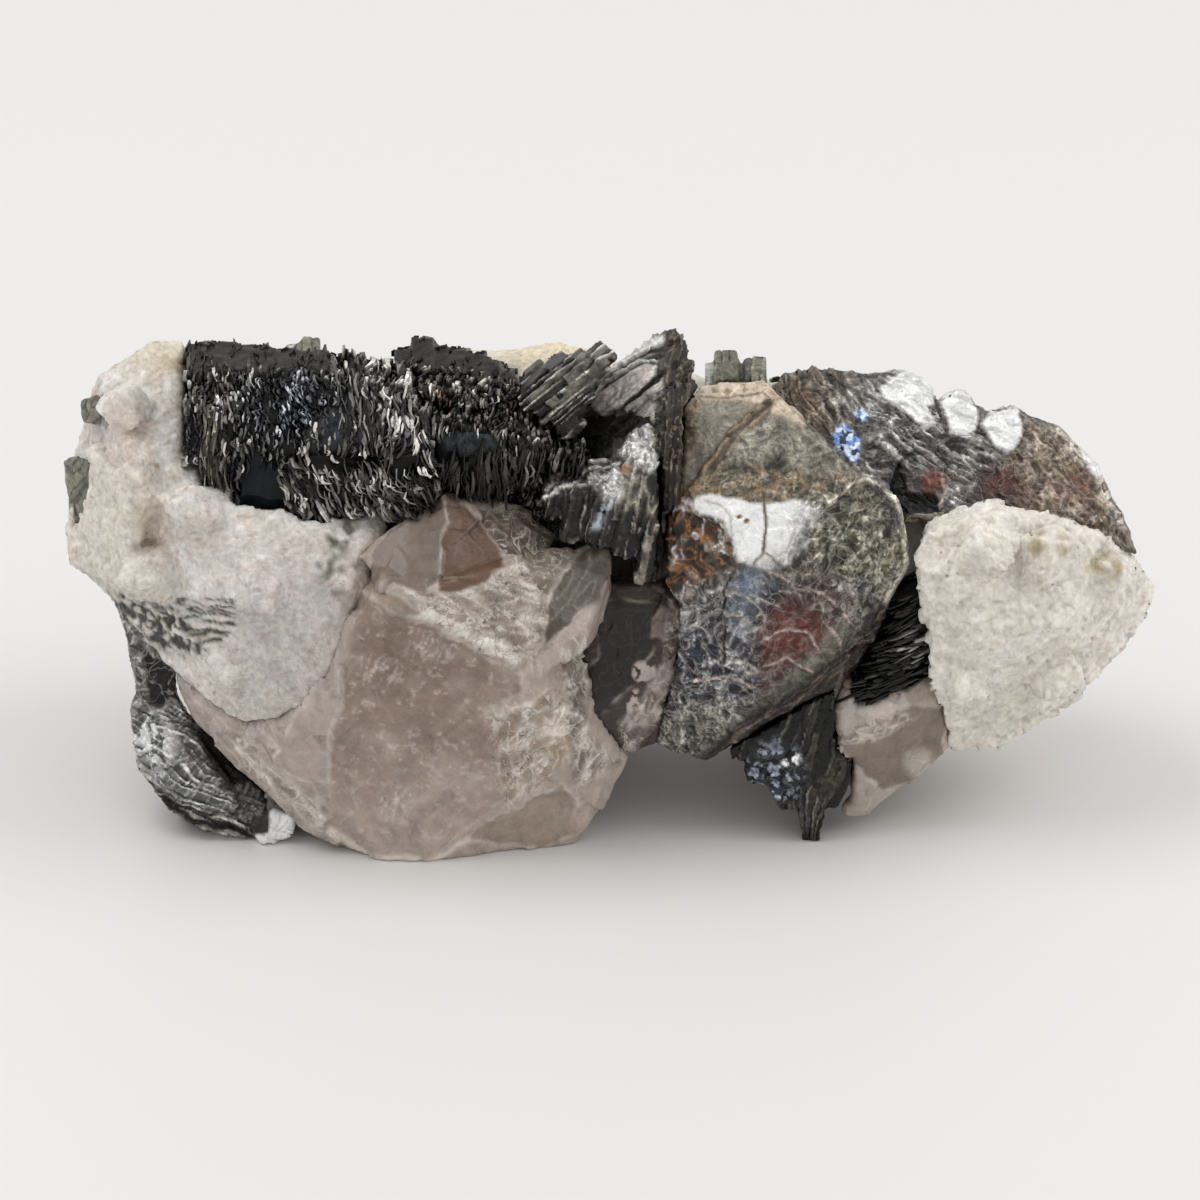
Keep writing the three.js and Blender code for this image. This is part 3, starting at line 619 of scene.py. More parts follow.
def white_feldspar_block():
    """White grains with two olive stains, tan along the left edge."""
    c = Canvas("white_feldspar_block", 0.3, (0.84, 0.79, 0.715), vein=0.1)
    c.put(c.noise(2.4, 51), (0.92, 0.89, 0.84))
    c.put(0.7 * c.noise(1.1, 52, 2), (0.8, 0.75, 0.67))
    c.put(0.6 * c.noise(3, 53), (0.82, 0.76, 0.66))
    c.put(1.2 * c.spot((29.8, 3.8), (1.4, 1)) * (0.4 + c.noise(0.9, 55)), (0.42, 0.35, 0.22))
    c.put(1.2 * c.spot((33.3, 2.2), (1.3, 0.9)) * (0.4 + c.noise(0.9, 57)), (0.46, 0.39, 0.25))
    edge = c.line((18.6, 4), (19.2, 1), (20.2, -3), (21.3, -7), width=0.7)
    c.put(0.7 * edge, (0.74, 0.67, 0.57), vein=0.5)
    sugary(c, 0.12, 1.6, 0.7, 1.1)
    c.done(FELDSPAR)


def rear_feldspar():
    """Pale tan and white grains with dark spots, cream at the peak."""
    c = Canvas("rear_feldspar", 0.75, (0.74, 0.68, 0.6), splits=0, vein=0.5)
    c.put(c.noise(4, 61), (0.86, 0.83, 0.78))
    c.put(1.5 * (c.noise(3, 67) - 0.35), (0.1, 0.1, 0.085), 0.35)
    c.put(c.spot((-3, 17), (4.6, 2)), (0.8, 0.71, 0.53))
    sugary(c, 0.3, 2, 0.9)
    c.done(FELDSPAR)


# ---------- quartz ----------
def crushed(c, area, angle, seed, strength=1, body=(0.3, 0.24, 0.195)):
    """Quartz that is crushed white: bright threads that flow one way over a clouded body."""
    threads = np.maximum(c.fibres(3.2, 0.75, angle, seed, 8),
                         0.8 * c.fibres(1.8, 0.7, angle + 40, seed + 1, 9))
    cloud = c.noise(1.2, seed + 2, 2)
    c.put(0.9 * area, body, 0.3, vein=0.9)
    c.put(0.6 * area * cloud, (0.56, 0.48, 0.41), 0.3)
    c.put(area * np.clip(-cloud - 0.1, 0, 0.7), (0.17, 0.13, 0.105), 0.25)
    c.put(strength * area * threads * held(0.8 + 0.8 * c.noise(1.2, seed + 3)), BRIGHT, 0.4, None, 0.12)
    c.lift += area * (grains(c.mm, 1, seed + 2, 0.25, 0.1) + 0.08 * c.noise(0.5, seed + 4, 2))


def big_quartz_face(c):
    """The large smooth break at the front: brown, with painted shade at its top, and greyer and paler below,
    where painted light stands for light thrown up from the floor.
    """
    big = ((-17.3, -2.5), (-16.5, -0.7), (-15.5, 0), (-13, -1.1), (-11.7, -1.1), (-7, -4.1), (-5.1, -4.9),
           (-5.2, -5.9), (-7.7, -7.2), (-7, -8.7), (-5.7, -9.7), (-6.5, -12.8), (-8.3, -14.6),
           (-11.3, -16.8), (-15.5, -16.6), (-18, -15.1), (-17.7, -8.7), (-16.9, -6.9), (-16.9, -4.9))
    c.face(big, (0.305, 0.23, 0.185), 0.4, 0.05, 0.6)
    inside = c.patch(*big)
    c.put(inside, vein=0.06)
    # painted shade at the top of the face, then painted light towards its foot
    c.put(0.8 * inside * c.spot((-12.5, -3.5), (4.5, 3), 0.6), (0.21, 0.143, 0.102))
    c.put(0.8 * inside * held((-9.5 - c.v) / 5), (0.46, 0.375, 0.32))
    c.put(0.4 * inside * c.noise(2.2, 74, 3), (0.56, 0.48, 0.42))
    scratches = np.maximum(c.fibres(1.3, 0.45, -25, 75, 12), c.fibres(1.2, 0.45, 50, 79, 12))
    c.put(0.6 * inside * scratches * (c.noise(0.8, 77, 2) > 0.3), (0.64, 0.56, 0.5), 0.35, None, 0.03)
    for fan in ((-14.6, -4.6), (-11.2, -3.2), (-13.4, -13.4)):
        c.put(0.8 * inside * c.spot(fan, (1.2, 0.9), 0.6) * c.fibres(1.2, 0.4, 65, 83, 9), PALE, 0.35,
              vein=0.5)


def left_quartz_faces(c):
    """Paler quartz under the feldspar: milky, cracked, with a bright crushed edge."""
    left = c.patch((-28.5, -5), (-17.3, -2.5), (-16.9, -5), (-17.7, -9), (-18, -15.2), (-15.5, -17),
                   (-24, -17))
    c.put(left * (0.6 + 0.5 * c.noise(1.5, 72, 2)), (0.37, 0.31, 0.275), vein=0.35)
    c.put(0.7 * left * c.fibres(2.6, 0.6, -48, 73, 9), (0.66, 0.6, 0.56), 0.35, None, 0.08)
    c.put(0.8 * left * c.fibres(2.2, 0.9, -42, 78, 5) * (c.noise(1.4, 80) > 0),
          (0.22, 0.17, 0.15), 0.3, None, -0.08)
    pane = ((-20, -7.6), (-18.2, -5.4), (-17.2, -3.2), (-17.2, -6.6), (-18, -9), (-17.9, -12), (-19.4, -12),
            (-21.6, -10.6))
    c.face(pane, (0.44, 0.37, 0.325), 0.3, 0.08, 0.9)
    edge = c.line((-24, -9), (-22.4, -11.4), (-19.8, -13.2), (-17.6, -14.8), (-14.5, -16.6), width=0.7)
    crushed(c, edge, -45, 101)


def peak_faces(c):
    """The peak: a grey-olive face, a brown one beside it, and the dark hollow to their right."""
    c.face(((-15.5, 0.1), (-13.9, 0.8), (-11.7, -0.9), (-12.9, -1)), (0.36, 0.28, 0.22), 0.35, 0.05, 0.7)
    c.face(((-14.9, 3.2), (-11.5, 6.4), (-10.3, 6.9), (-10.1, 5.2), (-10.6, 3.8), (-10.6, 1.1), (-11.6, 0.5),
            (-13.1, 0.7), (-15.2, 1.8)), (0.19, 0.148, 0.118), 0.3, 0.1, 0.5)
    c.face(((-10.3, 6.9), (-9.5, 6.7), (-7.9, 5.1), (-6.5, 2.8), (-6.3, 2.1), (-7.7, 1.1), (-9.5, 0.5),
            (-10.6, 0.6), (-10.6, 3.8), (-10.1, 5.2)), (0.135, 0.078, 0.05), 0.3, 0, 0.5)
    hollow = c.patch((-6.4, 2.9), (-8.2, 5.8), (-3.7, 6.2), (-3.6, 3.6), (-5.2, 2.8))
    c.put(hollow, (0.14, 0.105, 0.085), 0.35, None, -0.1, 0.8)
    c.put(hollow * c.curls(0.9, 93, 9), (0.4, 0.33, 0.27), 0.3, None, 0.08)


def crushed_parts(c):
    """A yellow side under the band, a dark strip beside it, and the band that crosses below the peak."""
    yellow = c.patch((-7.7, -7.7), (-5.9, -6.7), (-3.7, -5.9), (-2.3, -6.7), (-1.6, -9.7), (-3.7, -12.1),
                     (-6.5, -13.3), (-7, -9), soft=0.5)
    crushed(c, yellow, 35, 81, body=(0.33, 0.25, 0.18))
    strip = c.patch((-2.6, -3.4), (-1.3, -2.3), (-0.2, -3.5), (-1, -6.5), (-0.9, -9), (1.2, -10.5),
                    (-1.6, -12.4), (-2.3, -6.6), soft=0.3)
    crushed(c, strip, 60, 87, body=(0.17, 0.135, 0.11))
    band = c.patch((-13.1, 0.7), (-10.6, 0.4), (-7.7, 1), (-6.2, 2.2), (-5.2, 2.8), (-4.4, 1.8),
                   (-3.6, -0.5), (-4, -3.6), (-5.5, -4.6), (-7, -3.9), (-9.5, -2.3), (-12.1, -0.5),
                   soft=0.15)
    crushed(c, band, -18, 91, 0.85)


def quartz_shard(c):
    """The dark shard at the right end, and the crumpled brown quartz above it."""
    beside_shard = c.patch((-5.2, 2.8), (-3.6, 4.6), (-1.2, 4.4), (-1.1, 3.1), (-2.6, 1.5), (-3.7, -0.3),
                           (-4.4, 1.6), soft=0.25)
    c.put(0.85 * beside_shard, (0.165, 0.135, 0.105), 0.3, None, -0.05, 0.6)
    c.put(0.8 * beside_shard * c.curls(1.1, 98, 10), (0.52, 0.46, 0.38), 0.3, None, 0.06)
    shard = ((-3.7, -0.3), (-2.6, 1.5), (-1.1, 3.1), (0.1, 4.1), (0.5, 2.8), (0.4, 1.5), (-0.3, -0.3),
             (-1.6, -1), (-2.6, -2.1), (-3.7, -3.1))
    c.face(shard, (0.085, 0.067, 0.05), 0.3, 0.12, 0.9)
    c.put(0.5 * c.patch(*shard) * c.fibres(3, 0.8, 55, 85, 12), (0.4, 0.34, 0.28), 0.3, None, 0.06, 0.3)


def smoky_quartz():
    """The clear brown quartz: faces, crushed parts between them, and a shard."""
    c = Canvas("smoky_quartz", 0.31, (0.44, 0.365, 0.315), rough=0.35, vein=0.2)
    c.put(0.6 * c.noise(2, 71), (0.58, 0.5, 0.45))
    left_quartz_faces(c)
    big_quartz_face(c)
    lower = ((-8.8, -15.7), (-6.7, -14.1), (-2.6, -12.3), (-1.6, -13.1), (-1.7, -15.4), (-3.7, -16.3),
             (-6.7, -16.3))
    c.face(lower, (0.37, 0.295, 0.24), 0.35, -0.1, 0.8)
    crushed_parts(c)
    peak_faces(c)
    ridge = c.line((-12.9, -0.3), (-10.6, -1.3), (-8, -2.6), (-5.5, -4), width=0.3)
    c.put(0.8 * ridge * (c.noise(0.8, 99, 2) > -0.2), BRIGHT, 0.4, None, 0.06)
    quartz_shard(c)
    c.put(c.spot((-14.7, 0.6), (1.5, 1.1)), lift=0.8)
    c.put(c.line((-17.8, -15.3), (-15.5, -16.8), (-11.3, -17.2), (-8.8, -15.8), width=0.25), PALE, 0.4)
    under_feldspar = c.line(*FELDSPAR_FOOT, width=0.9)
    c.put(0.6 * under_feldspar, (0.56, 0.5, 0.46), 0.4, None, 0.4)
    c.lift += SEAM + 0.1 * c.noise(3, 95) + grains(c.mm, 3.2, 97, 0.08, 0.05)
    c.done(QUARTZ)


def dark_smoky_quartz():
    """A nearly black face and a small brown one, a crushed edge on their right, and two pale chips."""
    c = Canvas("dark_smoky_quartz", 0.24, (0.05, 0.031, 0.025), rough=0.3, vein=0.05)
    c.put(0.5 * c.noise(1.4, 101), (0.09, 0.06, 0.048))
    c.face(((-0.4, 0), (4.3, 0), (4.1, -2.1), (2.6, -5.1), (0.6, -7.2), (-1, -7.6), (-1.3, -5.7),
            (-0.1, -3.6)), (0.02, 0.011, 0.0085), 0.25, 0.06, 0.5)
    c.face(((3.5, -2.4), (3.5, -1.2), (4.1, -0.4), (4.8, -0.7), (4.5, -2.4)),
           (0.24, 0.185, 0.155), 0.3, 0.1, 0.8)
    crushed(c, c.patch((4.6, 0), (5.4, -1.2), (5.6, -2.5), (4.8, -5.5), (3.9, -7.8), (2.9, -9), (1.6, -10.6),
                       (1.2, -8), (2.8, -6.4), (4.2, -4), soft=0.2), 65, 103, 0.5, (0.14, 0.1, 0.085))
    for chip, radii, least in (((2.9, -4.7), (0.8, 0.7), -0.2), ((2.3, -7), (0.6, 1.2), -0.1)):
        c.put(c.spot(chip, radii, 0.1) * (c.noise(0.6, 109, 2) > least), (0.5, 0.43, 0.4), 0.3, None, 0.1)
    c.lift += SEAM + 0.06 * c.noise(2, 105) + grains(c.mm, 1.6, 107, 0.08, 0.06)
    c.done(QUARTZ)


def right_smoky_quartz():
    """A pale face above a brown one, a crushed line between them, and a face at the foot."""
    c = Canvas("right_smoky_quartz", 0.24, (0.44, 0.375, 0.32), rough=0.35, vein=0.15)
    c.put(0.6 * c.noise(1.6, 111, 2), (0.62, 0.56, 0.51))
    c.face(((15.3, -8.5), (15.9, -6.3), (16.5, -5.2), (19.6, -5.2), (20.4, -6.8), (18.8, -8), (17.4, -8.8)),
           (0.6, 0.53, 0.475), 0.35, 0.08, 0.7)
    c.face(((15.4, -9), (17.6, -8.9), (18.9, -8.1), (20.5, -6.9), (22.9, -7), (22.7, -10.3), (20.7, -12),
            (18.9, -12.6), (17, -11)), (0.23, 0.185, 0.15), 0.3, 0, 0.6)
    c.face(((16.4, -10.9), (18.4, -12.4), (17.8, -13.8), (16.4, -14.3)), (0.44, 0.38, 0.33), 0.3, 0.06, 0.6)
    crushed(c, 0.8 * c.spot((18.2, -8.5), (2.4, 0.6), turn=20), 10, 113)
    c.put(0.4 * c.spot((21.4, -11), (1.2, 1), turn=-40), PALE, 0.4, vein=0.8)
    c.put(0.8 * c.spot((17, -5.6), (0.8, 0.7)), (0.25, 0.12, 0.08))
    c.lift += SEAM + 0.08 * c.noise(2, 115) + grains(c.mm, 1.5, 117, 0.1, 0.08)
    c.done(QUARTZ)


left_feldspar()
white_feldspar_block()
rear_feldspar()
smoky_quartz()
dark_smoky_quartz()
right_smoky_quartz()


# ---------- mica books whose leaves stand out as flakes ----------
STATIONS = np.linspace(-1, 1, 4)      # places along a flake, which four corners surround
FLAKE_ROOT = 0.35                     # how deep a flake goes into the core, in millimetres
FRONT_OR_TOP = 0.2                    # how much a face must turn to the front or up to be in view
LEAF_FACE = 0.85                      # faces that look along the stack more than that bear no flakes
EDGE_ROUGH = 0.4
EDGE_METAL = 0.1
CORE = np.array([0.008, 0.0075, 0.007])
LEAF_GREY = (0.6, 0.575, 0.53)


def flake_faces(count):
    """Faces of flakes whose points come as four corners at each station."""
    steps = len(STATIONS)
    first = (np.arange(count) * steps * 4)[:, None, None] + (np.arange(steps - 1) * 4)[None, :, None]
    around = np.array([(0, 1, 5, 4), (1, 2, 6, 5), (2, 3, 7, 6), (3, 0, 4, 7)])
    sides = (first[..., None] + around).reshape(-1, 4)
    start = (np.arange(count) * steps * 4)[:, None]
    return np.vstack([sides, start + np.array([3, 2, 1, 0]),
                      start + (steps - 1) * 4 + np.array([0, 1, 2, 3])])


def flake_corners(rng, base, outward, stack, sizes, bend):
    """Corner points of thin curved flakes that stand on a surface, in millimetres. Leaves are
    stacked along stack; sizes holds the length, height and thickness of each flake."""
    shape = (len(base), len(STATIONS))
    length, height, thick = (sizes[:, k, None] for k in range(3))
    stand = unit(outward - (outward * stack).sum(axis=1, keepdims=True) * stack)
    along = np.cross(stack, stand)
    t = STATIONS[None]
    rise = height * (1 - 0.55 * t**6) * rng.uniform(0.5, 1.1, shape)
    sideways = bend[:, None] * (t * t + 0.5 * t - 0.3) + rng.normal(0, 0.03, shape)
    half = thick / 2 * (1 - 0.4 * t**6) * rng.uniform(0.6, 1.3, shape)
    middle = base[:, None] + along[:, None] * (t * length / 2)[..., None]
    middle = middle + stack[:, None] * sideways[..., None]
    side = stack[:, None] * half[..., None]
    foot = middle - stand[:, None] * FLAKE_ROOT
    crest = middle + stand[:, None] * rise[..., None]
    return np.stack([foot - side, foot + side, crest + 0.7 * side, crest - 0.7 * side], axis=2)


# How a rough book looks where its own look says nothing else. keep is the share of its flakes that
# stand there and turn is how far they lean over; sizes are in millimetres; shine is how light their
# edges can be painted, a painted highlight on their crests; core is the colour between them, and
# sunk how deep that lies.
PLAIN_LOOK = {"keep": 1, "length": 0.6, "height": 0.19, "thick": 0.2, "bend": 0.15, "turn": 0,
              "shine": 1, "sunk": 0.22, "colour": LEAF_GREY, "core": CORE}


def each(value, count):
    """A value for each point, given as one number or colour for all of them or as one for each."""
    is_colour = np.ndim(value) > 0 and np.shape(value)[-1] == 3
    return np.broadcast_to(value, (count, 3) if is_colour else count)


def flakes(rng, base, outward, stack, made, seed):
    """Corner points and colours of the flakes that stand at chosen places of a book."""
    count = len(base)
    leaning = made["turn"] + 0.3 * noise(base, 2.2, seed + 3)
    tilt = rng.normal(0, 0.08, (count, 3)) + leaning[:, None] * np.cross(outward, stack)
    sizes = np.stack([made["length"], made["height"], made["thick"]], axis=1)
    sizes *= rng.lognormal(0, 0.35, (count, 3))
    bend = made["bend"] * (1.6 * noise(base, 1.6, seed + 5) + rng.normal(0, 0.25, count))
    corners = flake_corners(rng, base, outward, unit(stack + tilt), sizes, bend)
    # painted highlight: each flake's crest is painted lighter than its foot, which has the core's colour
    light = 1.3 * made["shine"] * rng.uniform(0, 1, count) ** 2.4
    light *= 0.35 + 1.2 * (noise(base, 1.1, seed + 7) > 0)
    crest = CORE * 2 + made["colour"] * light[:, None]
    crest = rng.uniform(0.35, 1.25, (count, len(STATIONS), 1)) * crest[:, None]
    foot = np.tile(CORE, (count, len(STATIONS), 1))
    return corners.reshape(-1, 3), np.stack([foot, foot, crest, crest], axis=2).reshape(-1, 3)


def bristly_book(node, stack, look, voxel=0.25, per_mm2=8, seed=1):
    """Shows a packed book as a dark core whose leaf edges stand out as flakes."""
    rng = np.random.default_rng(seed)
    places, ways, quads = fine_surface(node, voxel)
    stack = unit(np.array(stack, dtype=float))
    made = dict(PLAIN_LOOK, **look(*seen_at(places), places))
    made = {name: each(value, len(places)) for name, value in made.items()}
    core_places = places + ways * (0.12 * noise(places, 0.9, seed) - made["sunk"])[:, None]
    streaks = creases(places * np.array([1.6, 1.6, 0.35]), 1, seed + 11, 4)
    core_tint = made["core"] * (0.55 + 0.9 * streaks)[:, None]
    in_view = np.maximum(ways @ OUT, ways[:, 2]) > FRONT_OR_TOP
    leaf_edge = np.abs(ways @ stack) < LEAF_FACE
    chance = per_mm2 * voxel**2 * (0.25 + 0.75 * in_view) * leaf_edge * made["keep"]
    picked = rng.uniform(size=len(places)) < chance
    picked[picked] = ~find(covered, places[picked], ways[picked])
    made = {name: value[picked] for name, value in made.items()}
    base = places[picked] + rng.uniform(-0.5, 0.5, (picked.sum(), 3)) * voxel
    corners, tints = flakes(rng, base, ways[picked], stack, made, seed)
    points = on_floor(np.vstack([core_places, corners])) * MM
    obj = mesh_object(node + "_leaves", points, np.vstack([quads, flake_faces(len(base)) + len(places)]))
    paint(obj, np.vstack([core_tint, tints]))
    keep_on(obj, "rough", "FLOAT", "value", np.full(len(points), EDGE_ROUGH))
    keep_on(obj, "metal", "FLOAT", "value", np.full(len(points), EDGE_METAL))
    stand_for(obj, node, MICA_EDGES)


def toward(start, end, share):
    """Colours part of the way from one to another at each place."""
    return np.array(start) + (np.array(end) - np.array(start)) * share[:, None]


def top_left_look(u, v, mm):
    """Smooth olive-black above, granular and blue-grey in the middle, pale ribbons on the right
    that end in a ragged lip painted bright as a highlight, hooked flakes below, and a smooth blue-black
    hollow."""
    ragged = 0.5 * noise(mm, 1.1, 501) + 0.25 * noise(mm, 0.5, 502)
    crown = held((v - 15.1 + 0.5 * ragged) / 0.25) * (u < -17.4)
    edge = ((-14.3, 16.3), (-12.9, 14.7), (-11.2, 12.8), (-10.8, 11.2), (-11.5, 10.1), (-11.4, 8.7),
            (-12.4, 6.9))
    lip = np.exp(-((line_distance(u + 0.4 * ragged, v, edge) / 0.28) ** 2))
    ribbons = held((u + 17.2 - 0.5 * (13 - v) + ragged) / 0.6) * (v > 9.4) * (u < -10.6)
    blobs = spot(u, v, (-24.6, 12.6), (2.4, 0.7), 0.4)
    pane = spot(u + ragged, v + ragged, (-17.2, 11.3), (2, 1.5), 0.3, 25)
    fine = spot(u, v, (-20.5, 12.6), (3.4, 2.4), 0.4) * (1 - pane)
    low = held((9.6 - v - 0.4 * ragged) / 0.6)
    hollow = spot(u + 0.7 * ragged, v, (-22.4, 7.1), (1.6, 2.4), 0.15, 8)
    gaps = np.maximum(spot(u, v + 0.5 * ragged, (-17, 9.1), (2.6, 0.45), turn=-5),
                      spot(u + ragged, v, (-12.8, 9), (1.5, 0.9), turn=20))
    olive = held(spot(u, v, (-25.6, 9.8), (0.8, 2.2)) + spot(u, v, (-24.6, 6.6), (0.6, 1.6)))
    bare = np.maximum.reduce([0.8 * crown, hollow, 0.9 * gaps, 0.35 * pane, 0.3 * ribbons * (1 - lip)])
    core = toward(CORE, (0.034, 0.029, 0.023), crown)
    core = toward(core, (0.008, 0.01, 0.017), hollow)
    core = toward(core, (0.04, 0.043, 0.05), np.maximum(pane, 0.6 * ribbons))
    colour = toward(toward(LEAF_GREY, (0.42, 0.45, 0.52), fine), (0.46, 0.44, 0.34), olive)
    return {"keep": 1 - bare,
            "length": 0.55 + 0.6 * ribbons + 0.35 * low - 0.15 * fine + 1.2 * olive + 0.5 * crown,
            "height": 0.18 + 0.05 * ribbons + 0.12 * low - 0.1 * pane - 0.14 * crown + 0.18 * lip,
            "thick": 0.2 + 0.05 * blobs - 0.04 * fine + 0.05 * lip,
            "bend": 0.15 + 0.2 * low + 0.1 * ribbons, "turn": 0.45 * low * (u > -21),
            # the lip's extra shine is a painted highlight
            "shine": 1 + 0.5 * ribbons + 0.9 * blobs + 1.8 * lip + 0.3 * low - 0.3 * pane - 0.85 * crown,
            "sunk": 0.24 - 0.18 * np.maximum(crown, pane) + 0.25 * np.maximum(hollow, gaps),
            "colour": colour, "core": core}


def top_middle_look(u, v, mm):
    """A smooth dark roof, then rough flakes in layers that fall to the right."""
    ragged = 0.35 * noise(mm, 0.8, 503)
    crown = held((v - 15.5 + 0.165 * (u + 13.1) + ragged) / 0.3)
    layers = np.sin((v + 0.45 * u) * 4.6 + 2 * noise(mm, 2, 505))
    gap = spot(u, v, (-8.8, 12.1), (2.4, 0.35), turn=-8)
    rusty = spot(u, v, (-10.2, 13.3), (0.7, 0.6))
    return {"keep": (1 - 0.8 * crown) * (1 - 0.9 * gap), "length": 0.5,
            "height": (0.18 + 0.08 * layers) * (1 - 0.75 * crown), "thick": 0.2,
            "shine": 0.85 + 0.6 * layers - 0.8 * crown, "sunk": 0.24 - 0.16 * crown + 0.2 * gap,
            "turn": -0.35, "colour": toward((0.6, 0.56, 0.5), (0.4, 0.25, 0.13), rusty),
            "core": toward(CORE, (0.034, 0.03, 0.025), crown)}


def ledge_look(u, v, mm):
    """A pale lip, a smooth face under it, and long upright leaves below."""
    lip = np.exp(-(((v - 11.2 + 0.13 * (u + 9) + 0.1 * noise(mm, 0.9, 507)) / 0.18) ** 2)) * (u > -11)
    smooth = spot(u, v + 0.3 * noise(mm, 0.9, 509), (-8.6, 10.3), (2.1, 0.85), 0.3)
    below = held((9.7 - v) / 0.5)
    return {"keep": 0.7 - 0.65 * smooth * (1 - lip) - 0.15 * below, "length": 0.6 + 0.9 * below,
            "height": 0.18 + 0.1 * below, "thick": 0.18 + 0.03 * below, "bend": 0.1 + 0.14 * below,
            "turn": -0.12, "shine": 0.32 - 0.1 * below + 1.6 * lip,
            "sunk": 0.24 - 0.16 * smooth + 0.12 * below,
            "core": toward(CORE, (0.036, 0.039, 0.043), smooth)}


def fan_look(u, v, mm):
    """Mostly black, with a grey-green patch where the flakes get painted highlights."""
    pale = spot(u, v, (20.9, -2.9), (1.7, 1.1))
    return {"keep": 0.45 + 0.3 * pale, "length": 1.3, "height": 0.22, "thick": 0.18, "bend": 0.08,
            "shine": 0.05 + 0.6 * pale, "sunk": 0.3}


def back_look(u, v, mm):
    """Long leaves with nothing special about them."""
    return {"length": 1.4, "height": 0.28, "thick": 0.17}


def along(angle, out):
    """The way across the leaves of a book whose leaves rise at an angle as seen from the front."""
    rise = math.radians(angle)
    return seen_way(math.sin(rise), -math.cos(rise), out)


UPRIGHT = (1, 0, 0)
bristly_book("top_left_mica_book", UPRIGHT, top_left_look, voxel=0.24, per_mm2=6.7, seed=3)
bristly_book("top_middle_mica_book", UPRIGHT, top_middle_look, per_mm2=6, seed=5)
bristly_book("ledge_mica_book", UPRIGHT, ledge_look, voxel=0.2, seed=7)
bristly_book("right_mica_fan", along(25, -0.3), fan_look, voxel=0.2, seed=25)
BACK_BOOKS = (("back_left_mica_book", (0.62, 0.55, 0.5), 27),
              ("back_middle_mica_book", (0.2, 0.95, 0.25), 29),
              ("back_right_mica_book", (0.25, 0.7, 0.66), 31))
for name, stack, seed in BACK_BOOKS:
    bristly_book(name, stack, back_look, voxel=0.36, per_mm2=3, seed=seed)


# ---------- mica plates ----------
BLACK = (0.008, 0.007, 0.006)
WHITE = (0.95, 0.95, 0.94)


def fibrous(c, area, light, dark, seed, angle=60, long=1.1, short=0.3):
    """A rough face of short crossing fibres: pale threads on a dark ground."""
    threads = np.maximum(c.fibres(long, short, angle, seed, 8),
                         c.fibres(long, short, angle + 65, seed + 1, 8))
    patchy = c.noise(1.3, seed + 2, 2)
    c.put(area * (0.75 + 0.4 * patchy), dark)
    c.put(area * threads * held(0.75 + 0.9 * patchy), light, 0.4, None, 0.1)
    c.lift -= 0.08 * area * (c.noise(0.5, seed + 3, 2) > 0.3)


def plate_top(c):
    """The tan upper face: a pale cap, a smooth beige pane, and two thin rusty ridges that run down left."""
    c.put(c.patch((4.6, 15.5), (14, 15), (13.4, 11.3), (12, 11), (10.8, 12.4), (6.7, 11.8), (5.4, 12.8),
                  soft=0.25), (0.45, 0.36, 0.265), 0.6, 0, 0.1, 0, 0.4)
    sunlit = c.patch((6, 14.6), (11.4, 14.4), (12.2, 13.2), (13.6, 11.6), (12.6, 11.2), (11, 12.9),
                     (6.6, 13.4), soft=0.15)
    c.put(0.8 * sunlit * (c.noise(0.8, 261, 2) > -0.2), (0.74, 0.63, 0.5), 0.6, None, 0.1, 0, 0.2)
    c.put(c.patch((6.6, 13.2), (10.5, 13), (9, 11.3), (7.2, 8.9), (5.8, 7.6), (5.2, 9.6), (6.2, 11.2)),
          (0.275, 0.245, 0.2), 0.4, 0.1, 0, 0.05, 0.35)
    left = c.patch((4.2, 13.6), (6.5, 13.2), (6.2, 10.4), (5.4, 8.2), (5, 6.6), (3.4, 7), soft=0.3)
    fibrous(c, left, (0.4, 0.3, 0.2), (0.045, 0.032, 0.022), 263, 55)
    upper = ((11.2, 12.9), (10.2, 12.4), (9.1, 11.5), (8.2, 10.4), (7.4, 9.2), (6.4, 7.4), (5.2, 6.4))
    lower = ((11, 12.4), (9.8, 11.4), (8.8, 10.2), (8, 9), (7.1, 7.6), (6.2, 6.9))
    for ridge in (upper, lower):
        c.put(1.3 * c.line(*ridge, width=0.24), (0.05, 0.033, 0.02), 0.5, 0.1, 0, 0, 0.3)
        c.put(1.2 * c.line(*ridge, width=0.12) * (c.noise(0.7, 267) > -0.5),
              (0.31, 0.235, 0.155), 0.5, 0.1, 0.14)
    c.put(0.7 * c.line((6.6, 13.5), (8.6, 13.3), (10.8, 13.6), (11.6, 12.8), width=0.07),
          (0.06, 0.04, 0.03), 0.5)


def plate_middle(c):
    """Smooth olive-grey with dark round hollows, and below it a speckled fibrous band."""
    smooth = c.patch((11.4, 12.2), (14.1, 11), (16, 9.9), (16.9, 8.6), (14, 8.2), (11, 9.2), (8.2, 8.9),
                     (9.4, 11), soft=0.3)
    c.put(smooth, (0.2, 0.185, 0.15), 0.4, 0.2, 0, 0.15, 0.7)
    c.put(0.7 * smooth * c.fibres(2, 0.5, 15, 265, 5), (0.38, 0.35, 0.29), 0.4, 0.2, 0.06)
    band = c.patch((5.6, 7.4), (8, 8.8), (11, 9), (14, 8.4), (17.4, 8.2), (18.4, 7.4), (15, 6.5), (6, 6.6),
                   soft=0.25)
    fibrous(c, band, (0.5, 0.42, 0.3), (0.1, 0.08, 0.055), 267, 15, 0.9, 0.25)
    c.put(0.5 * band * (c.noise(0.9, 269) > 0.2), (0.36, 0.22, 0.11))
    c.put(c.spot((11.7, 9), (0.85, 0.6), 0.4), (0.035, 0.032, 0.026), 0.4, None, -0.12)
    c.put(0.8 * c.spot((9, 8.6), (0.95, 0.5), 0.4), (0.07, 0.065, 0.05), 0.4, None, -0.08)
    c.put(0.6 * c.spot((14.5, 9.2), (1.1, 0.9), 0.3), (0.11, 0.1, 0.07))


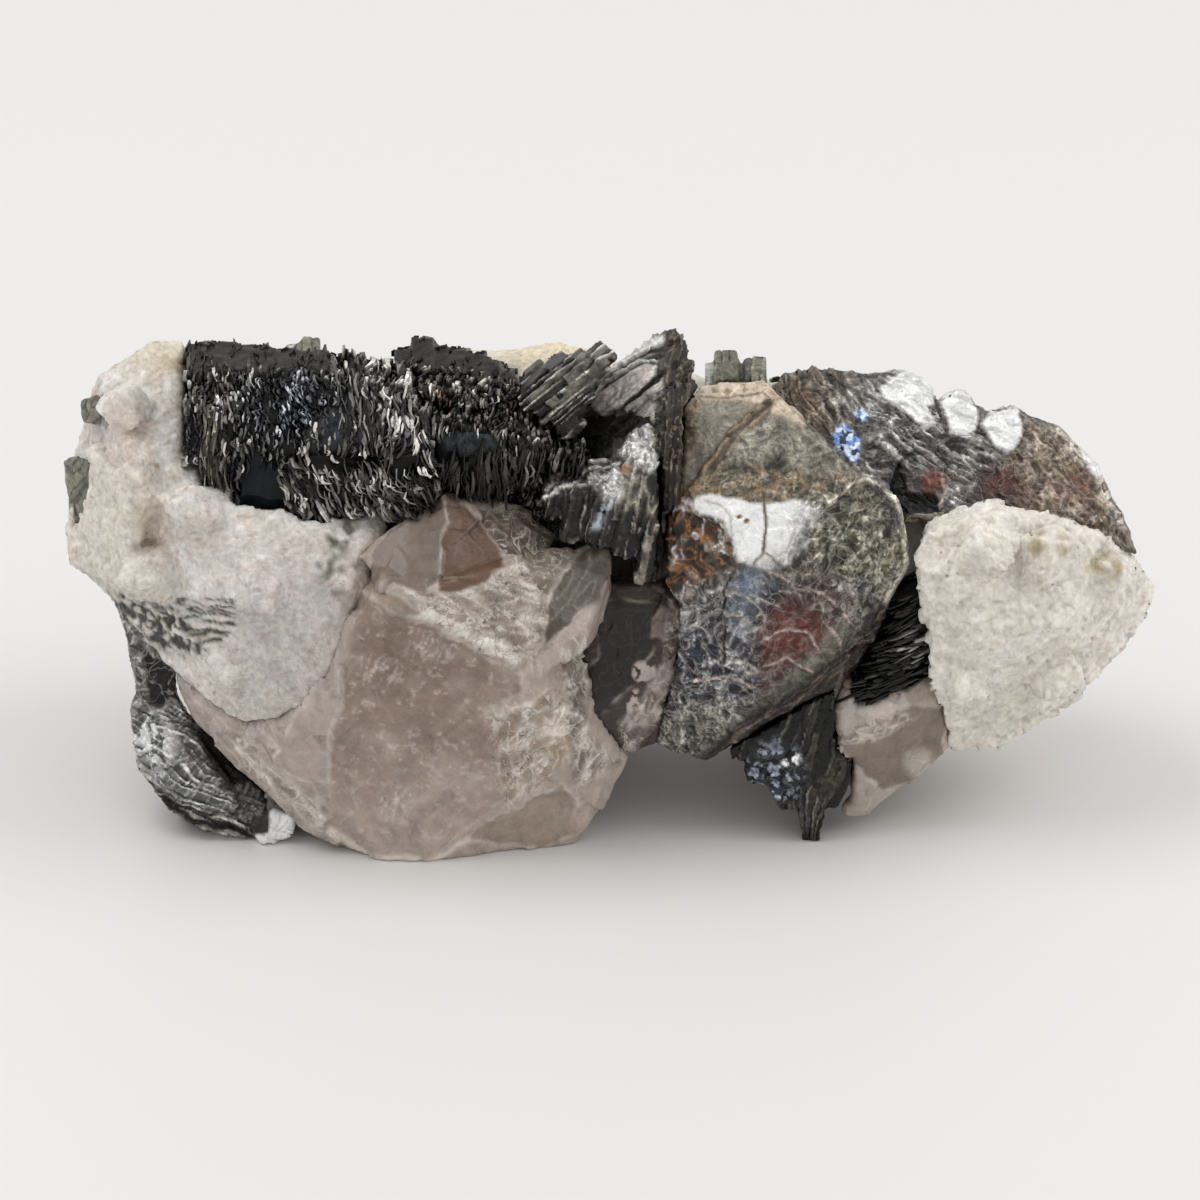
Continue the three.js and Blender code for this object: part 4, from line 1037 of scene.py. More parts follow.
def plate_right(c):
    """The dark mottled right side, its pale curls, and the bright thin rim."""
    right = c.patch((12.5, 6.9), (17.9, 7.9), (19.6, 6.8), (20.6, 2.7), (19.3, 0.7), (17.5, -2.2),
                    (14.5, 0.6), (11.8, 2.2), (13, 4.2), soft=0.4)
    c.put(right, (0.056, 0.05, 0.035), 0.4, 0.25, 0, 0.3, 0.9)
    c.put(right * (0.7 + 0.5 * c.noise(1.5, 274)) * c.curls(1, 271, 7), (0.345, 0.31, 0.23), 0.4, None, 0.1)
    c.put(right * c.fibres(1.4, 0.35, 50, 273, 7) * (c.noise(1, 276) > 0),
          (0.56, 0.53, 0.45), 0.35, 0.3, 0.08)
    c.put(0.8 * right * held(c.noise(2.2, 278, 2) * 2), (0.04, 0.037, 0.028), 0.4, None, -0.1)
    lower_right = c.patch((16.6, 3), (20, 3.6), (19.3, 0.4), (17.3, -2.4), (15, 0), (15, 1.6), soft=0.4)
    c.put(0.5 * lower_right * (c.noise(0.5, 275, 2) > 0.1), (0.52, 0.49, 0.4), 0.4, None, 0.05)
    c.put(0.8 * c.spot((17.7, 6.6), (0.8, 0.6)), (0.09, 0.085, 0.05), 0.3)
    rim = ((17.4, 8.1), (18.6, 7.7), (19.5, 6.8), (20.1, 5), (20.2, 2.7), (19.4, 0.7), (17.7, -2),
           (16.8, -3))
    c.put(c.line(*rim, width=0.15), (0.78, 0.74, 0.64), 0.4, 0.1, 0.06)
    c.put(c.line((17.4, 8.1), (16.2, 7.3), (15.2, 6.5), (14.4, 6.6), width=0.1),
          (0.7, 0.65, 0.54), 0.4, None, 0.06)


def plate_rust(c):
    """Curly rust between the broken edge and the glare, with dark hollows and silvery threads; the whitest
    curls are painted glints.
    """
    rusty = c.patch((3, 9.5), (5.4, 7.6), (6, 6.4), (8.2, 5.2), (8.9, 4.2), (9, 2), (6.9, 1), (3.2, -0.4),
                    soft=0.5)
    c.put(rusty * held(1.2 + 1.5 * c.noise(1.5, 277, 2)), (0.026, 0.018, 0.014), 0.45, 0.1, -0.05, 0.05, 0.5)
    c.put(1.2 * rusty * c.curls(0.9, 279, 13), (0.3, 0.14, 0.055), 0.5, 0.1, 0.16)
    c.put(0.9 * rusty * c.curls(1.4, 280, 12) * (c.noise(1.2, 281) > 0.1),
          (0.42, 0.34, 0.27), 0.45, 0.1, 0.06)
    # painted glints: thin white curls
    c.put(rusty * c.curls(0.8, 283, 9) * (c.noise(1.4, 284) > 0.05), (0.84, 0.83, 0.82), 0.25, 0.3, 0.06)


def plate_glare(c):
    """The white glare: sharp above and on the left, fading into the dark on its right."""
    glare = c.patch((5.8, 6.5), (6.8, 6.95), (8.9, 6.75), (10.6, 6.3), (12.9, 6.6), (15, 6), (14.6, 3.4),
                    (12.6, 2.6), (11.5, 1.9), (9.1, 2.5), (8.7, 3.8), (8.2, 5.2), (7.2, 5.6), (6.4, 5.9),
                    soft=0.14)
    fade = held((14.6 - c.u + 0.5 * (c.v - 5)) / 3) * held((c.v - 1.6) / 2.2) ** 0.5
    threads = 0.35 * c.fibres(1.6, 0.35, 60, 285, 5) - 0.15
    c.put(glare * held(1.35 * fade + threads * (fade < 0.9)), WHITE, 0.3, 0.2, 0, 0, 0.12)
    c.put(1.1 * c.line((10.9, 7), (10.95, 5.6), (10.9, 4.2), (10.8, 3.2), width=0.12),
          (0.1, 0.08, 0.055), 0.5, 0, -0.1)
    for crack in (((10.8, 3.1), (10.2, 2.4)), ((11, 3.1), (12, 2.3))):
        c.put(c.line(*crack, width=0.1), (0.2, 0.17, 0.13), 0.5)
    c.put(0.5 * c.line((6.9, 6.5), (8, 6.2), (8.7, 5.4), (8.8, 4.2), width=0.08),
          (0.12, 0.08, 0.05), 0.5, 0, -0.08)
    for place in ((9.2, 5.5), (9.7, 5.2), (6, 6.2), (7.6, 4.6)):
        c.put(c.spot(place, (0.2, 0.14)), (0.22, 0.08, 0.03))


def low_reflections_and_tint(c, low, red):
    """Painted blue and red-brown reflections, and a tan tint, on the glassy lower part."""
    # painted reflections: the blue and red-brown laid on here stand for what the glassy plate reflects; the
    # tan spot is a tint
    blue = c.patch((8.7, 2.6), (11.2, 2.2), (11.4, 0.8), (10.2, -0.6), (9.6, -2.6), (8.3, -3), (8.3, 0.7),
                   soft=0.4)
    c.put(low * blue, (0.12, 0.135, 0.17), 0.25, 0.35, 0, 0.2, 0.5)
    c.put(0.9 * c.spot((9.9, 1.2), (1, 1)), (0.17, 0.2, 0.27), 0.25)
    c.put(low * red, (0.085, 0.026, 0.02), 0.25, 0.3, 0, 0.15, 0.5)
    c.put(0.7 * low * red * c.spot((12.6, -2.4), (1.6, 1.3), 0.5), (0.125, 0.036, 0.026))
    c.put(0.7 * c.spot((14.9, 0.4), (1.8, 1.4), 0.5, -30), (0.12, 0.085, 0.065))
    c.put(0.8 * low * c.spot((7.2, -4.2), (2.6, 2.8), 0.5), (0.026, 0.031, 0.048), 0.2)


def low_folds(c, low, red):
    """Thin pale folds, glints of light in the dark left corner, and a black line beside the glare."""
    folds = np.maximum(c.curls(2.6, 291, 26), c.curls(1.3, 293, 22))
    c.put(low * folds * (1 - 0.75 * red), (0.5, 0.465, 0.44), 0.25, 0.4, 0.1)
    glints = c.fibres(0.9, 0.4, 30, 299, 9) * (c.noise(1.1, 300) > 0.1)
    c.put(0.9 * low * glints * c.spot((7.2, -4.2), (2.6, 3.4), 0.5), (0.74, 0.75, 0.78), 0.2, 0.4, 0.08)
    for arc in (((11.2, 1.9), (13, 1), (14.8, 0.4), (16.2, -1), (16.9, -1.9)),
                ((11, -2.6), (12.4, -1.8), (13.8, -2.2), (14.6, -3.4)),
                ((10.8, -4.4), (12.4, -3.8), (14, -4.8)), ((14.8, -1.4), (15.9, -2.6), (16, -4.2)),
                ((6.2, -5.4), (8.2, -4.9), (10.2, -5.7))):
        c.put(c.line(*arc, width=0.08), (0.46, 0.37, 0.33), 0.3, 0.2, 0.1)
    c.put(1.1 * c.line((8.9, 2), (8.2, 0.7), (8.15, -1.7), (8.3, -4.2), width=0.09), BLACK, 0.4, 0, -0.1)


def plate_foot(c):
    """The pale torn foot at the left, and the dark edge that runs up to the right from it."""
    foot = c.patch((3.2, -8.8), (6, -6.9), (8.5, -6.9), (9.3, -8.4), (6.7, -10.2), (3, -10.4), soft=0.4)
    fibrous(c, foot, (0.6, 0.58, 0.5), (0.08, 0.075, 0.06), 297, 60, 1.2, 0.35)
    under = ((18.6, -1), (17.4, -2.7), (16, -4.4), (13.4, -6.3), (10.7, -8), (8.3, -9.9), (6.9, -11.2))
    c.put(1.6 * c.line(*under, width=0.85), (0.022, 0.017, 0.015), 0.4, 0.1, 0, 0, 0.7)
    c.put(c.line(*under, width=0.85) * c.fibres(3, 0.5, 36, 303, 11), (0.2, 0.145, 0.12), 0.4, 0.1, 0.1)


def plate_low(c):
    """The lower part: dark and glassy, with painted blue and red-brown reflections, crossed by thin pale
    folds.
    """
    low = held((1.8 - c.v) / 0.8) * held((17.6 - c.u + c.v) / 1)
    c.put(low, (0.056, 0.052, 0.054), 0.26, 0.35, 0, 0.4, 0.9)
    c.put(0.8 * low * c.noise(1.6, 289, 2), (0.16, 0.15, 0.15))
    # where the painted red-brown reflection lies
    red = c.spot((12.9, -3), (2.4, 3.6), 0.3, -12)
    low_reflections_and_tint(c, low, red)
    low_folds(c, low, red)
    plate_foot(c)


def front_plate():
    """The big plate, painted from the top down; the rust and the glare lie over the rest."""
    c = Canvas("front_mica_plate", 0.23, (0.17, 0.155, 0.125), rough=0.4, metal=0.25, vein=0.1)
    c.put(0.8 * c.noise(1.1, 203, 2), (0.09, 0.082, 0.065))
    plate_top(c)
    plate_middle(c)
    plate_right(c)
    plate_low(c)
    plate_rust(c)
    plate_glare(c)
    c.lift += 0.1 * c.noise(2.5, 223, 2) + 0.05 * c.noise(0.6, 225, 2) + grains(c.mm, 2.4, 227, 0.05, 0.08)
    c.done(MICA_FACES)


def rear_folds(c):
    """Leaves folded like cloth: steep brown ones on the left, flatter grey ones in the middle."""
    left = held((19 - c.u) / 3)
    middle = held((c.u - 16) / 3) * held((29.5 - c.u) / 2)
    c.put(left * (0.6 + 0.5 * c.noise(1.6, 303)), (0.065, 0.045, 0.032), 0.45, 0.15, 0, 0.1, 0.6)
    c.put(left * c.fibres(3.6, 0.9, -62, 301, 6), (0.185, 0.145, 0.105), 0.4, 0.2, 0.24)
    c.put(0.9 * left * c.fibres(3, 0.6, -66, 305, 11), (0.5, 0.44, 0.38), 0.35, 0.3, 0.1)
    tone, lit, gap = c.leaves(-62, 0.5, 3.5, 304, wave=1)
    # painted highlights on the leaves' upper edges; painted shade in the gaps below them
    c.put(left * lit, (0.52, 0.45, 0.37), 0.35, 0.3, 0.06)
    c.put(left * np.maximum(gap, 0.7 * (tone > 0.75)), BLACK, 0.4, 0, -0.18)
    c.put(0.8 * c.spot((12.6, 12.4), (1.8, 1.8)) * (0.6 + 0.5 * c.noise(0.7, 308)),
          (0.24, 0.165, 0.1), 0.6, 0.1)
    c.put(middle * (0.7 + 0.4 * c.noise(1.2, 309)), (0.035, 0.033, 0.032), 0.3, 0.2, 0, 0.25, 0.8)
    c.put(middle * c.fibres(2.4, 0.7, -14, 311, 6) * (c.noise(1.6, 313) > -0.3),
          (0.3, 0.285, 0.27), 0.3, 0.3, 0.16)
    c.put(middle * c.fibres(2.4, 0.6, -35, 315, 11) * (c.noise(1.4, 317) > -0.1),
          (0.7, 0.68, 0.65), 0.25, 0.4, 0.1)
    tone, lit, gap = c.leaves(-32, 0.45, 2.2, 320, wave=1.4)
    # painted highlights on the leaves' upper edges; painted shade in the gaps below them
    c.put(middle * lit, (0.74, 0.72, 0.69), 0.25, 0.4, 0.06)
    c.put(middle * np.maximum(gap, 0.8 * (tone > 0.7)), BLACK, 0.4, 0, -0.14)


def rear_round_end(c):
    """The round brown plate at the far right, with fine fibres that follow its rim."""
    end = c.patch((27.6, 12), (30.3, 11.5), (32.5, 9.6), (34, 7), (35.8, 3.2), (33, 3), (28, 4.6),
                  (26.6, 8), soft=0.5)
    c.put(end, (0.082, 0.058, 0.041), 0.4, 0.25, 0, 0.3, 0.8)
    c.put(end * c.fibres(2.2, 0.5, -55, 321, 7), (0.3, 0.235, 0.17), 0.4, 0.2, 0.12)
    c.put(end * c.curls(1.2, 324, 9) * (c.noise(1.2, 326) > -0.1), (0.5, 0.43, 0.35), 0.35, 0.3, 0.1)
    rim = c.line((30.3, 11.3), (32.2, 9.6), (33.4, 7.6), (34.7, 5), width=0.4)
    c.put(0.8 * rim * (c.noise(0.6, 323) > -0.2), (0.72, 0.66, 0.57), 0.35, None, 0.05)
    c.put(0.8 * c.spot((26.6, 7.4), (2.2, 1.6), 0.5), (0.07, 0.034, 0.028), 0.25)
    c.put(0.6 * c.spot((26.4, 7.8), (0.9, 0.7), 0.6), (0.12, 0.04, 0.032), 0.25)
    c.put(0.6 * c.spot((31.6, 7.4), (1.2, 1), 0.6), (0.15, 0.07, 0.045), 0.25)


def rear_glints(c):
    """Painted glints: facets along the crest painted white as highlights, and two painted blue reflections.
    """
    facets = (
        ((18.6, 14), (20, 15.2), (22, 15), (22.6, 13.4), (21.8, 12.8), (22.3, 11.6), (21.4, 11.3),
         (20.5, 12.5), (19.3, 13)),
        ((22.7, 13.3), (23.3, 14.2), (24.1, 14), (25, 12.7), (25, 11.3), (24.3, 10.9), (23.3, 11.2)),
        ((25.3, 11.7), (26, 12.4), (27.7, 12.8), (28.1, 11.3), (27.7, 10.3), (27, 9.7), (26.2, 10.3)),
        ((31.9, 9.9), (32.7, 9.5), (33.4, 8.4), (33, 8), (32.3, 8.9)))
    tone = grain_tone(c.mm, 1.1, 325)
    # each facet painted white, a painted highlight
    for facet in facets:
        c.put(c.patch(*facet, soft=0.12), WHITE, 0.28, 0.3, 0.08, 0, 0.12)
        c.put(0.5 * c.patch(*facet) * (tone > 0.65), (0.62, 0.63, 0.64), 0.25)
    crest = c.patch((15, 13.4), (18.4, 14.8), (19.2, 13.2), (18.4, 11.6), (16.2, 12.6))
    c.put(0.8 * crest * c.fibres(1.8, 0.35, -45, 327, 6), (0.74, 0.73, 0.71), 0.25, 0.3, 0.08)
    c.put(c.line((22.4, 13.6), (22.6, 12.4), (23, 11.2), (23.3, 10), width=0.15),
          (0.03, 0.03, 0.03), 0.4, 0, -0.2)
    # painted blue reflection, broken into light and dark shards
    blue = np.maximum(c.patch((15.5, 11), (16, 11.7), (16.5, 11.5), (17.2, 10.7), (17.3, 9.7), (17, 9),
                              (16.1, 9.7), (15.5, 10)),
                      c.patch((16.8, 12.3), (17.5, 12.6), (18, 12.1), (17.5, 11.7)))
    shard = grain_tone(c.mm, 0.32, 329)
    c.put(blue, (0.22, 0.38, 0.8), 0.25, 0.3, 0.1, 0, 0.2)
    c.put(blue * (shard > 0.6), (0.72, 0.82, 0.97), 0.2)
    c.put(blue * (shard < 0.3), (0.03, 0.045, 0.09), 0.2)


def rear_hollow(c):
    """The hollow above the white block, painted nearly black as shade, a red stain over it, and the tan
    ledge below.
    """
    c.put(0.85 * c.spot((20.8, 7.4), (2, 1.8), 0.5), (0.03, 0.025, 0.024), 0.3)
    hole = np.maximum(c.patch((20, 7), (22.2, 7.1), (22.6, 5.9), (20, 5.7)),
                      c.patch((19.2, 8), (20, 9.3), (20.5, 6.4), (19.5, 5.8)))
    # painted shade: the hole is painted nearly black
    c.put(1.2 * hole, (0.002, 0.002, 0.002), 0.3, 0, -0.5, 0)
    c.put(0.9 * c.spot((22.2, 7.9), (0.9, 0.7), 0.4), (0.14, 0.04, 0.032), 0.2)
    c.put(c.line((22.6, 8.4), (22.9, 7.2), (22.6, 6.2), width=0.09), (0.5, 0.38, 0.34), 0.3)
    strip = c.patch((19.4, 5.6), (24, 5.9), (29.5, 5), (33, 3.8), (33, 2), (19, 3.5), soft=0.3)
    fibrous(c, strip, (0.46, 0.41, 0.29), (0.13, 0.11, 0.07), 331, -8, 1.8, 0.25)


def rear_plate():
    """The ruffled plate at the upper right with its round end."""
    c = Canvas("rear_mica_plate", 0.22, (0.14, 0.125, 0.105), rough=0.35, metal=0.25, vein=0.2)
    c.put(0.9 * c.noise(1.2, 233, 2), (0.05, 0.047, 0.042))
    rear_folds(c)
    rear_round_end(c)
    rear_hollow(c)
    rear_glints(c)
    c.lift += 0.16 * c.noise(2, 247, 2) + 0.05 * c.noise(0.6, 249, 2)
    c.done(MICA_FACES)


def crinkled_top(c, upper):
    """Crinkled silver with a black band through it."""
    c.put(upper, (0.1, 0.098, 0.092), 0.3, 0.3, 0, 0.4, 0.9)
    c.put(upper * c.curls(0.9, 255, 9), (0.5, 0.5, 0.48), 0.3, 0.3, 0.1)
    c.put(upper * c.patch((-30.4, -3.4), (-28.2, -4.6), (-27.6, -8.6), (-29.6, -9)), BLACK, 0.3, 0.1, -0.1)


def close_ripples(c, below):
    """Close ripples with bright edges, which are painted highlights, and painted shade in the gaps between
    them; the brightest part at their left, and a black band on their right.
    """
    ripples = below * (0.75 + 0.3 * c.noise(1.6, 252))
    c.put(ripples, (0.035, 0.034, 0.032), 0.25, 0.3)
    tone, lit, gap = c.leaves(-28, 0.45, 1.8, 251, wave=1.4)
    c.put(ripples * (0.4 + tone), (0.17, 0.17, 0.165), 0.25, 0.4, 0.1)
    c.put(ripples * c.fibres(1.4, 0.45, 40, 254, 9), (0.6, 0.6, 0.59), 0.2, 0.4, 0.08)
    # painted highlights on the ripples' edges
    c.put(1.6 * below * lit, (0.92, 0.92, 0.91), 0.2, 0.4, 0.08)
    c.put(below * gap, (0.008, 0.008, 0.008), 0.3, 0.1, -0.16)
    bright = c.spot((-30, -9.6), (1.6, 2), 0.4) * (c.noise(0.8, 253, 2) > 0)
    c.put(0.9 * bright, (0.92, 0.92, 0.91), 0.25, 0.4, 0.1)
    band = c.patch((-27.2, -8.4), (-25.7, -8.2), (-22, -12.8), (-22.4, -13.6), (-24.2, -13.3),
                   (-25.9, -11.4), soft=0.3)
    c.put(band, BLACK, 0.3, 0.1, -0.1, 0, 0.3)
    low_end = c.patch((-24.4, -12.2), (-22.4, -12.2), (-22.6, -13.6), (-24.6, -13.6))
    c.put(band * low_end * c.fibres(1.5, 0.3, 65, 257, 5), (0.3, 0.3, 0.29))


def layered_rim(c):
    """The rim: pale leaves seen edge on, with painted highlights on their edges and painted shade in the
    gaps below, and a black line along them.
    """
    rim = c.patch((-30.8, -10.5), (-29.4, -12.4), (-27.4, -13.9), (-23, -14.8), (-23, -17), (-30, -16),
                  (-32, -12), soft=0.2)
    c.put(rim, (0.05, 0.045, 0.041), 0.35)
    tone, lit, gap = c.leaves(-25, 0.5, 4, 259)
    # painted highlights on the leaves' edges; painted shade in the gaps below them
    c.put(rim * np.maximum(lit, tone > 0.7), (0.74, 0.71, 0.66), 0.3, 0.3, 0.08)
    c.put(rim * gap, BLACK, 0.3, 0.1, -0.1)
    c.put(1.1 * c.line((-29, -13.2), (-27, -14.7), (-23.5, -15.4), width=0.3), BLACK)


def flake_glare(c):
    """The glare painted white on a flake at the lower end, with grey streaks and a dark leaf at its left."""
    # painted glare
    c.put(c.patch((-22, -14.1), (-21, -13.5), (-20, -13.9), (-20.6, -15.6), (-22, -16.6), (-23, -16)),
          (1, 1, 1), 0.25, 0.1, 0.1, 0, 0.05)
    c.put(0.6 * c.spot((-21.4, -15.2), (1, 1.2)) * c.fibres(1.6, 0.4, 62, 258, 10),
          (0.22, 0.22, 0.215), 0.25)
    c.put(c.patch((-23, -14.4), (-21.9, -14), (-22, -15.4), (-23.2, -15.6)), (0.04, 0.037, 0.035), 0.3)


def lower_left_book():
    """Crinkled silver above a black band, then close ripples, a layered rim and a painted glare on one
    flake.
    """
    c = Canvas("lower_left_mica_book", 0.2, (0.02, 0.019, 0.018), rough=0.3, metal=0.2, crumple=0.5)
    upper = held((c.v + 7.4) / 0.6)
    crinkled_top(c, upper)
    close_ripples(c, 1 - upper)
    layered_rim(c)
    flake_glare(c)
    c.lift += 0.08 * c.noise(1.6, 261, 2)
    c.done(MICA_FACES)


# ---------- small books, painted leaf by leaf ----------
def tall_crest(c, streaks):
    """The terraces under the tip, painted pale as lit from above, with painted dark shadows between them,
    and the black foot.
    """
    lit_terrace = c.patch((-2.9, 12.6), (0, 15.9), (5.5, 18.4), (5.9, 17.6), (2, 15.6), (-1, 13.4))
    c.put(lit_terrace * (0.7 + 0.4 * streaks), (0.8, 0.78, 0.74), 0.3, 0.2)
    shadow = c.patch((-1.4, 13.3), (0.3, 15), (5.4, 17.4), (5.3, 16.9), (1.4, 14.6), (-0.8, 12.8))
    c.put(0.9 * shadow, (0.03, 0.025, 0.02), 0.5, None, -0.1)
    # a paler face, painted as lit
    pale = c.patch((-0.9, 12.9), (0.3, 14.4), (2.6, 15.9), (3.7, 15.7), (3.2, 14.4), (1.4, 12.8),
                   (0.2, 12.2), soft=0.12)
    c.put(pale, (0.5, 0.445, 0.41), 0.4, 0.2, 0.15, 0.1, 0.3)
    c.put(0.8 * pale * c.fibres(1.8, 0.45, 36, 345, 8), (0.78, 0.72, 0.68), 0.35, 0.2, 0.05)
    # each edge gets a painted shadow line just below it and a painted highlight line just above it
    for edge in (((-0.9, 12.9), (0.3, 14.4), (2.6, 15.9), (3.7, 15.7)),
                 ((1.4, 12.8), (3.2, 14.4), (3.7, 15.4)), ((2.3, 12.4), (3.7, 13.8)),
                 ((0.6, 15.2), (3, 16.6), (5.2, 17.3))):
        c.put(1.2 * c.line(*[(u + 0.08, v - 0.1) for u, v in edge], width=0.13),
              (0.02, 0.016, 0.013), 0.5, 0, -0.15)
        c.put(c.line(*[(u, v + 0.12) for u, v in edge], width=0.09), (0.8, 0.76, 0.7), 0.3, 0.1, 0.12)
    step = c.patch((2.3, 12.9), (3.6, 14.2), (3.8, 13.4), (3.6, 12.2), (2.4, 12.2), soft=0.12)
    c.put(step, (0.42, 0.38, 0.36), 0.4, 0.2, 0.1)
    c.put(1.2 * (c.v < 12.2 + 0.3 * c.noise(0.8, 347)) * (c.u < 3.4), BLACK, 0.5, 0)


def torn_side(c):
    """The steep torn brown side at the right."""
    torn = held((c.u - 4.1) / 0.3)
    c.put(torn, (0.035, 0.029, 0.024), 0.45, 0.1)
    c.put(torn * c.fibres(2, 0.4, 80, 349, 9), (0.26, 0.215, 0.165), 0.4, 0.1, 0.12)


def tall_book():
    """Leaves that rise to the right at 36 degrees, each shown by a pale face, painted as lit, and a dark
    edge and gap, painted as shade.
    """
    c = Canvas("tall_mica_book", 0.2, (0.035, 0.03, 0.026), rough=0.4, metal=0.15, wobble=0.08, crumple=0.4)
    tone, lit, gap = c.leaves(36, 0.5, 5, 341)
    # painted highlights on the leaves' faces; painted shade in the gaps
    streaks = held(lit + (tone > 0.75)) * (tone > 0.25)
    c.put(0.9 * (tone > 0.3), (0.1, 0.09, 0.078), 0.4)
    c.put(0.9 * streaks, (0.54, 0.5, 0.44), 0.35, 0.2, 0.05)
    c.put(0.9 * gap, BLACK, 0.5, 0, -0.2)
    tall_crest(c, streaks)
    torn_side(c)
    c.lift += 0.08 * c.noise(0.7, 351, 2) + 0.15 * (streaks - 0.4)
    c.done(MICA_FACES)


def dark_edge():
    """The torn edges of many leaves, seen end on: steep thin brown fibres over black."""
    c = Canvas("dark_mica_edge", 0.2, (0.02, 0.016, 0.012), rough=0.45, metal=0.1, wobble=0.08, crumple=0.4)
    tone, lit, gap = c.leaves(86, 0.4, 2.2, 353)
    c.put(0.8 * (tone > 0.6), (0.045, 0.035, 0.026), 0.45, 0.1, 0.1)
    # painted highlights on the leaves' upper edges; painted shade in the gaps below them
    c.put(lit * (tone > 0.4), (0.36, 0.305, 0.235), 0.4, 0.1, 0.05)
    c.put(gap, BLACK, 0.5, 0, -0.2)
    c.put(0.7 * (c.noise(0.5, 359, 2) > 0.6), (0.26, 0.2, 0.14), 0.4, 0.1, 0.1)
    c.put(0.8 * (c.v < 5) * c.fibres(1.4, 0.5, 60, 360, 8), (0.16, 0.075, 0.035), 0.5)
    c.lift += 0.1 * c.noise(0.6, 361, 2) - 0.06
    c.done(MICA_FACES)


def sheaf():
    """Thin leaves stacked side by side, dark, with light edges that are painted highlights and black gaps
    that are painted shade.
    """
    c = Canvas("mica_sheaf", 0.2, (0.02, 0.018, 0.015), rough=0.4, metal=0.15, wobble=0.05, crumple=0.4)
    tone, lit, gap = c.leaves(38, 0.5, 6, 361)
    c.put((tone > 0.7) * (0.5 + 0.7 * c.noise(1, 363)), (0.2, 0.185, 0.155), 0.35, 0.2)
    # painted highlights on the leaves' upper edges; painted shade in the gaps below them
    c.put(1.5 * lit * (0.4 + tone), (0.8, 0.75, 0.67), 0.3, 0.2, 0.06)
    c.put(gap, BLACK, 0.5, 0, -0.35)
    c.lift += 0.4 * (tone - 0.5)
    c.done(MICA_FACES)


def stub(node, seed):
    """Upright olive columns with a pale one at their left."""
    c = Canvas(node, 0.2, (0.1, 0.098, 0.075), rough=0.4, metal=0.1, wobble=0.05, crumple=0.5)
    left = c.u.min()
    tone, lit, gap = c.leaves(86, 0.7, 9, seed)
    c.put(tone, (0.21, 0.205, 0.15), 0.35, 0.2, 0.1)
    # painted highlights on the leaves' upper edges; painted shade in the gaps below them
    c.put(lit * tone, (0.56, 0.55, 0.46), 0.35, 0.2, 0.05)
    c.put(gap, (0.02, 0.019, 0.014), 0.5, 0, -0.2)
    c.put(held(left + 0.8 - c.u) * 2, (0.6, 0.61, 0.52), 0.35)
    c.lift -= 0.05
    c.done(MICA_FACES)


FOOT_TIP = 13.4        # the x of the tip that the foot narrows to


def foot():
    """Smooth black columns that narrow to a grey tip, with painted highlights on their leaves' edges, and a
    crumpled patch of painted bluish highlights with a white painted glint.
    """
    c = Canvas("foot_mica_book", 0.22, (0.006, 0.0055, 0.005), rough=0.25, metal=0.1, wobble=0.12,
               crumple=0.6)
    narrowing = 0.62 * held((-12 - seen_at(c.mm)[1]) / 3.4)
    c.mm[:, 0] -= narrowing * (c.mm[:, 0] - FOOT_TIP)
    tone, lit, gap = c.leaves(75, 0.7, 5, 371)
    right = held((c.u - 13.6) / 0.8)
    c.put(right * (tone > 0.4), (0.05, 0.048, 0.038), 0.35, 0.2)
    # painted highlights on the leaves' upper edges; painted shade in the gaps below them
    c.put(0.8 * lit * (tone > 0.5), (0.36, 0.34, 0.28), 0.3, 0.2, 0.05)
    c.put(gap, BLACK, 0.4, 0, -0.2)
    patch = c.spot((11.6, -11.6), (1.7, 1.9), 0.4)
    shard = grain_tone(c.mm, 0.4, 377)
    # painted bluish highlights in the crumpled patch, and a white painted glint
    c.put(patch, (0.02, 0.023, 0.032), 0.2, 0.3, 0, 0.2, 1)
    c.put(patch * (shard > 0.7), (0.34, 0.37, 0.45), 0.2, 0.4, 0.08)
    c.put(c.spot((12.7, -10.6), (0.6, 0.4)) * (shard > 0.4), (0.9, 0.9, 0.91), 0.2)
    c.put(0.7 * c.spot((12.8, -14.6), (1.2, 1)), (0.085, 0.08, 0.07), 0.4)
    c.lift += 0.1 * c.noise(0.8, 381, 2)
    c.done(MICA_FACES)


def silver_columns(c):
    """Dark upright leaves with light streaks: painted highlights on their upper edges, and painted shade in
    the gaps below them.
    """
    tone, lit, gap = c.leaves(76, 0.5, 3.5, 391)
    c.put(0.8 * (tone > 0.55), (0.045, 0.04, 0.035), 0.35, 0.2, 0.15)
    c.put((tone > 0.8) * (0.5 + 0.8 * c.noise(0.9, 393)), (0.35, 0.315, 0.265), 0.3, 0.3, 0.08)
    # painted highlights on the leaves' upper edges; painted shade in the gaps below them
    c.put(lit * (tone > 0.3), (0.6, 0.56, 0.5), 0.3, 0.3)
    c.put(gap, BLACK, 0.4, 0, -0.2)


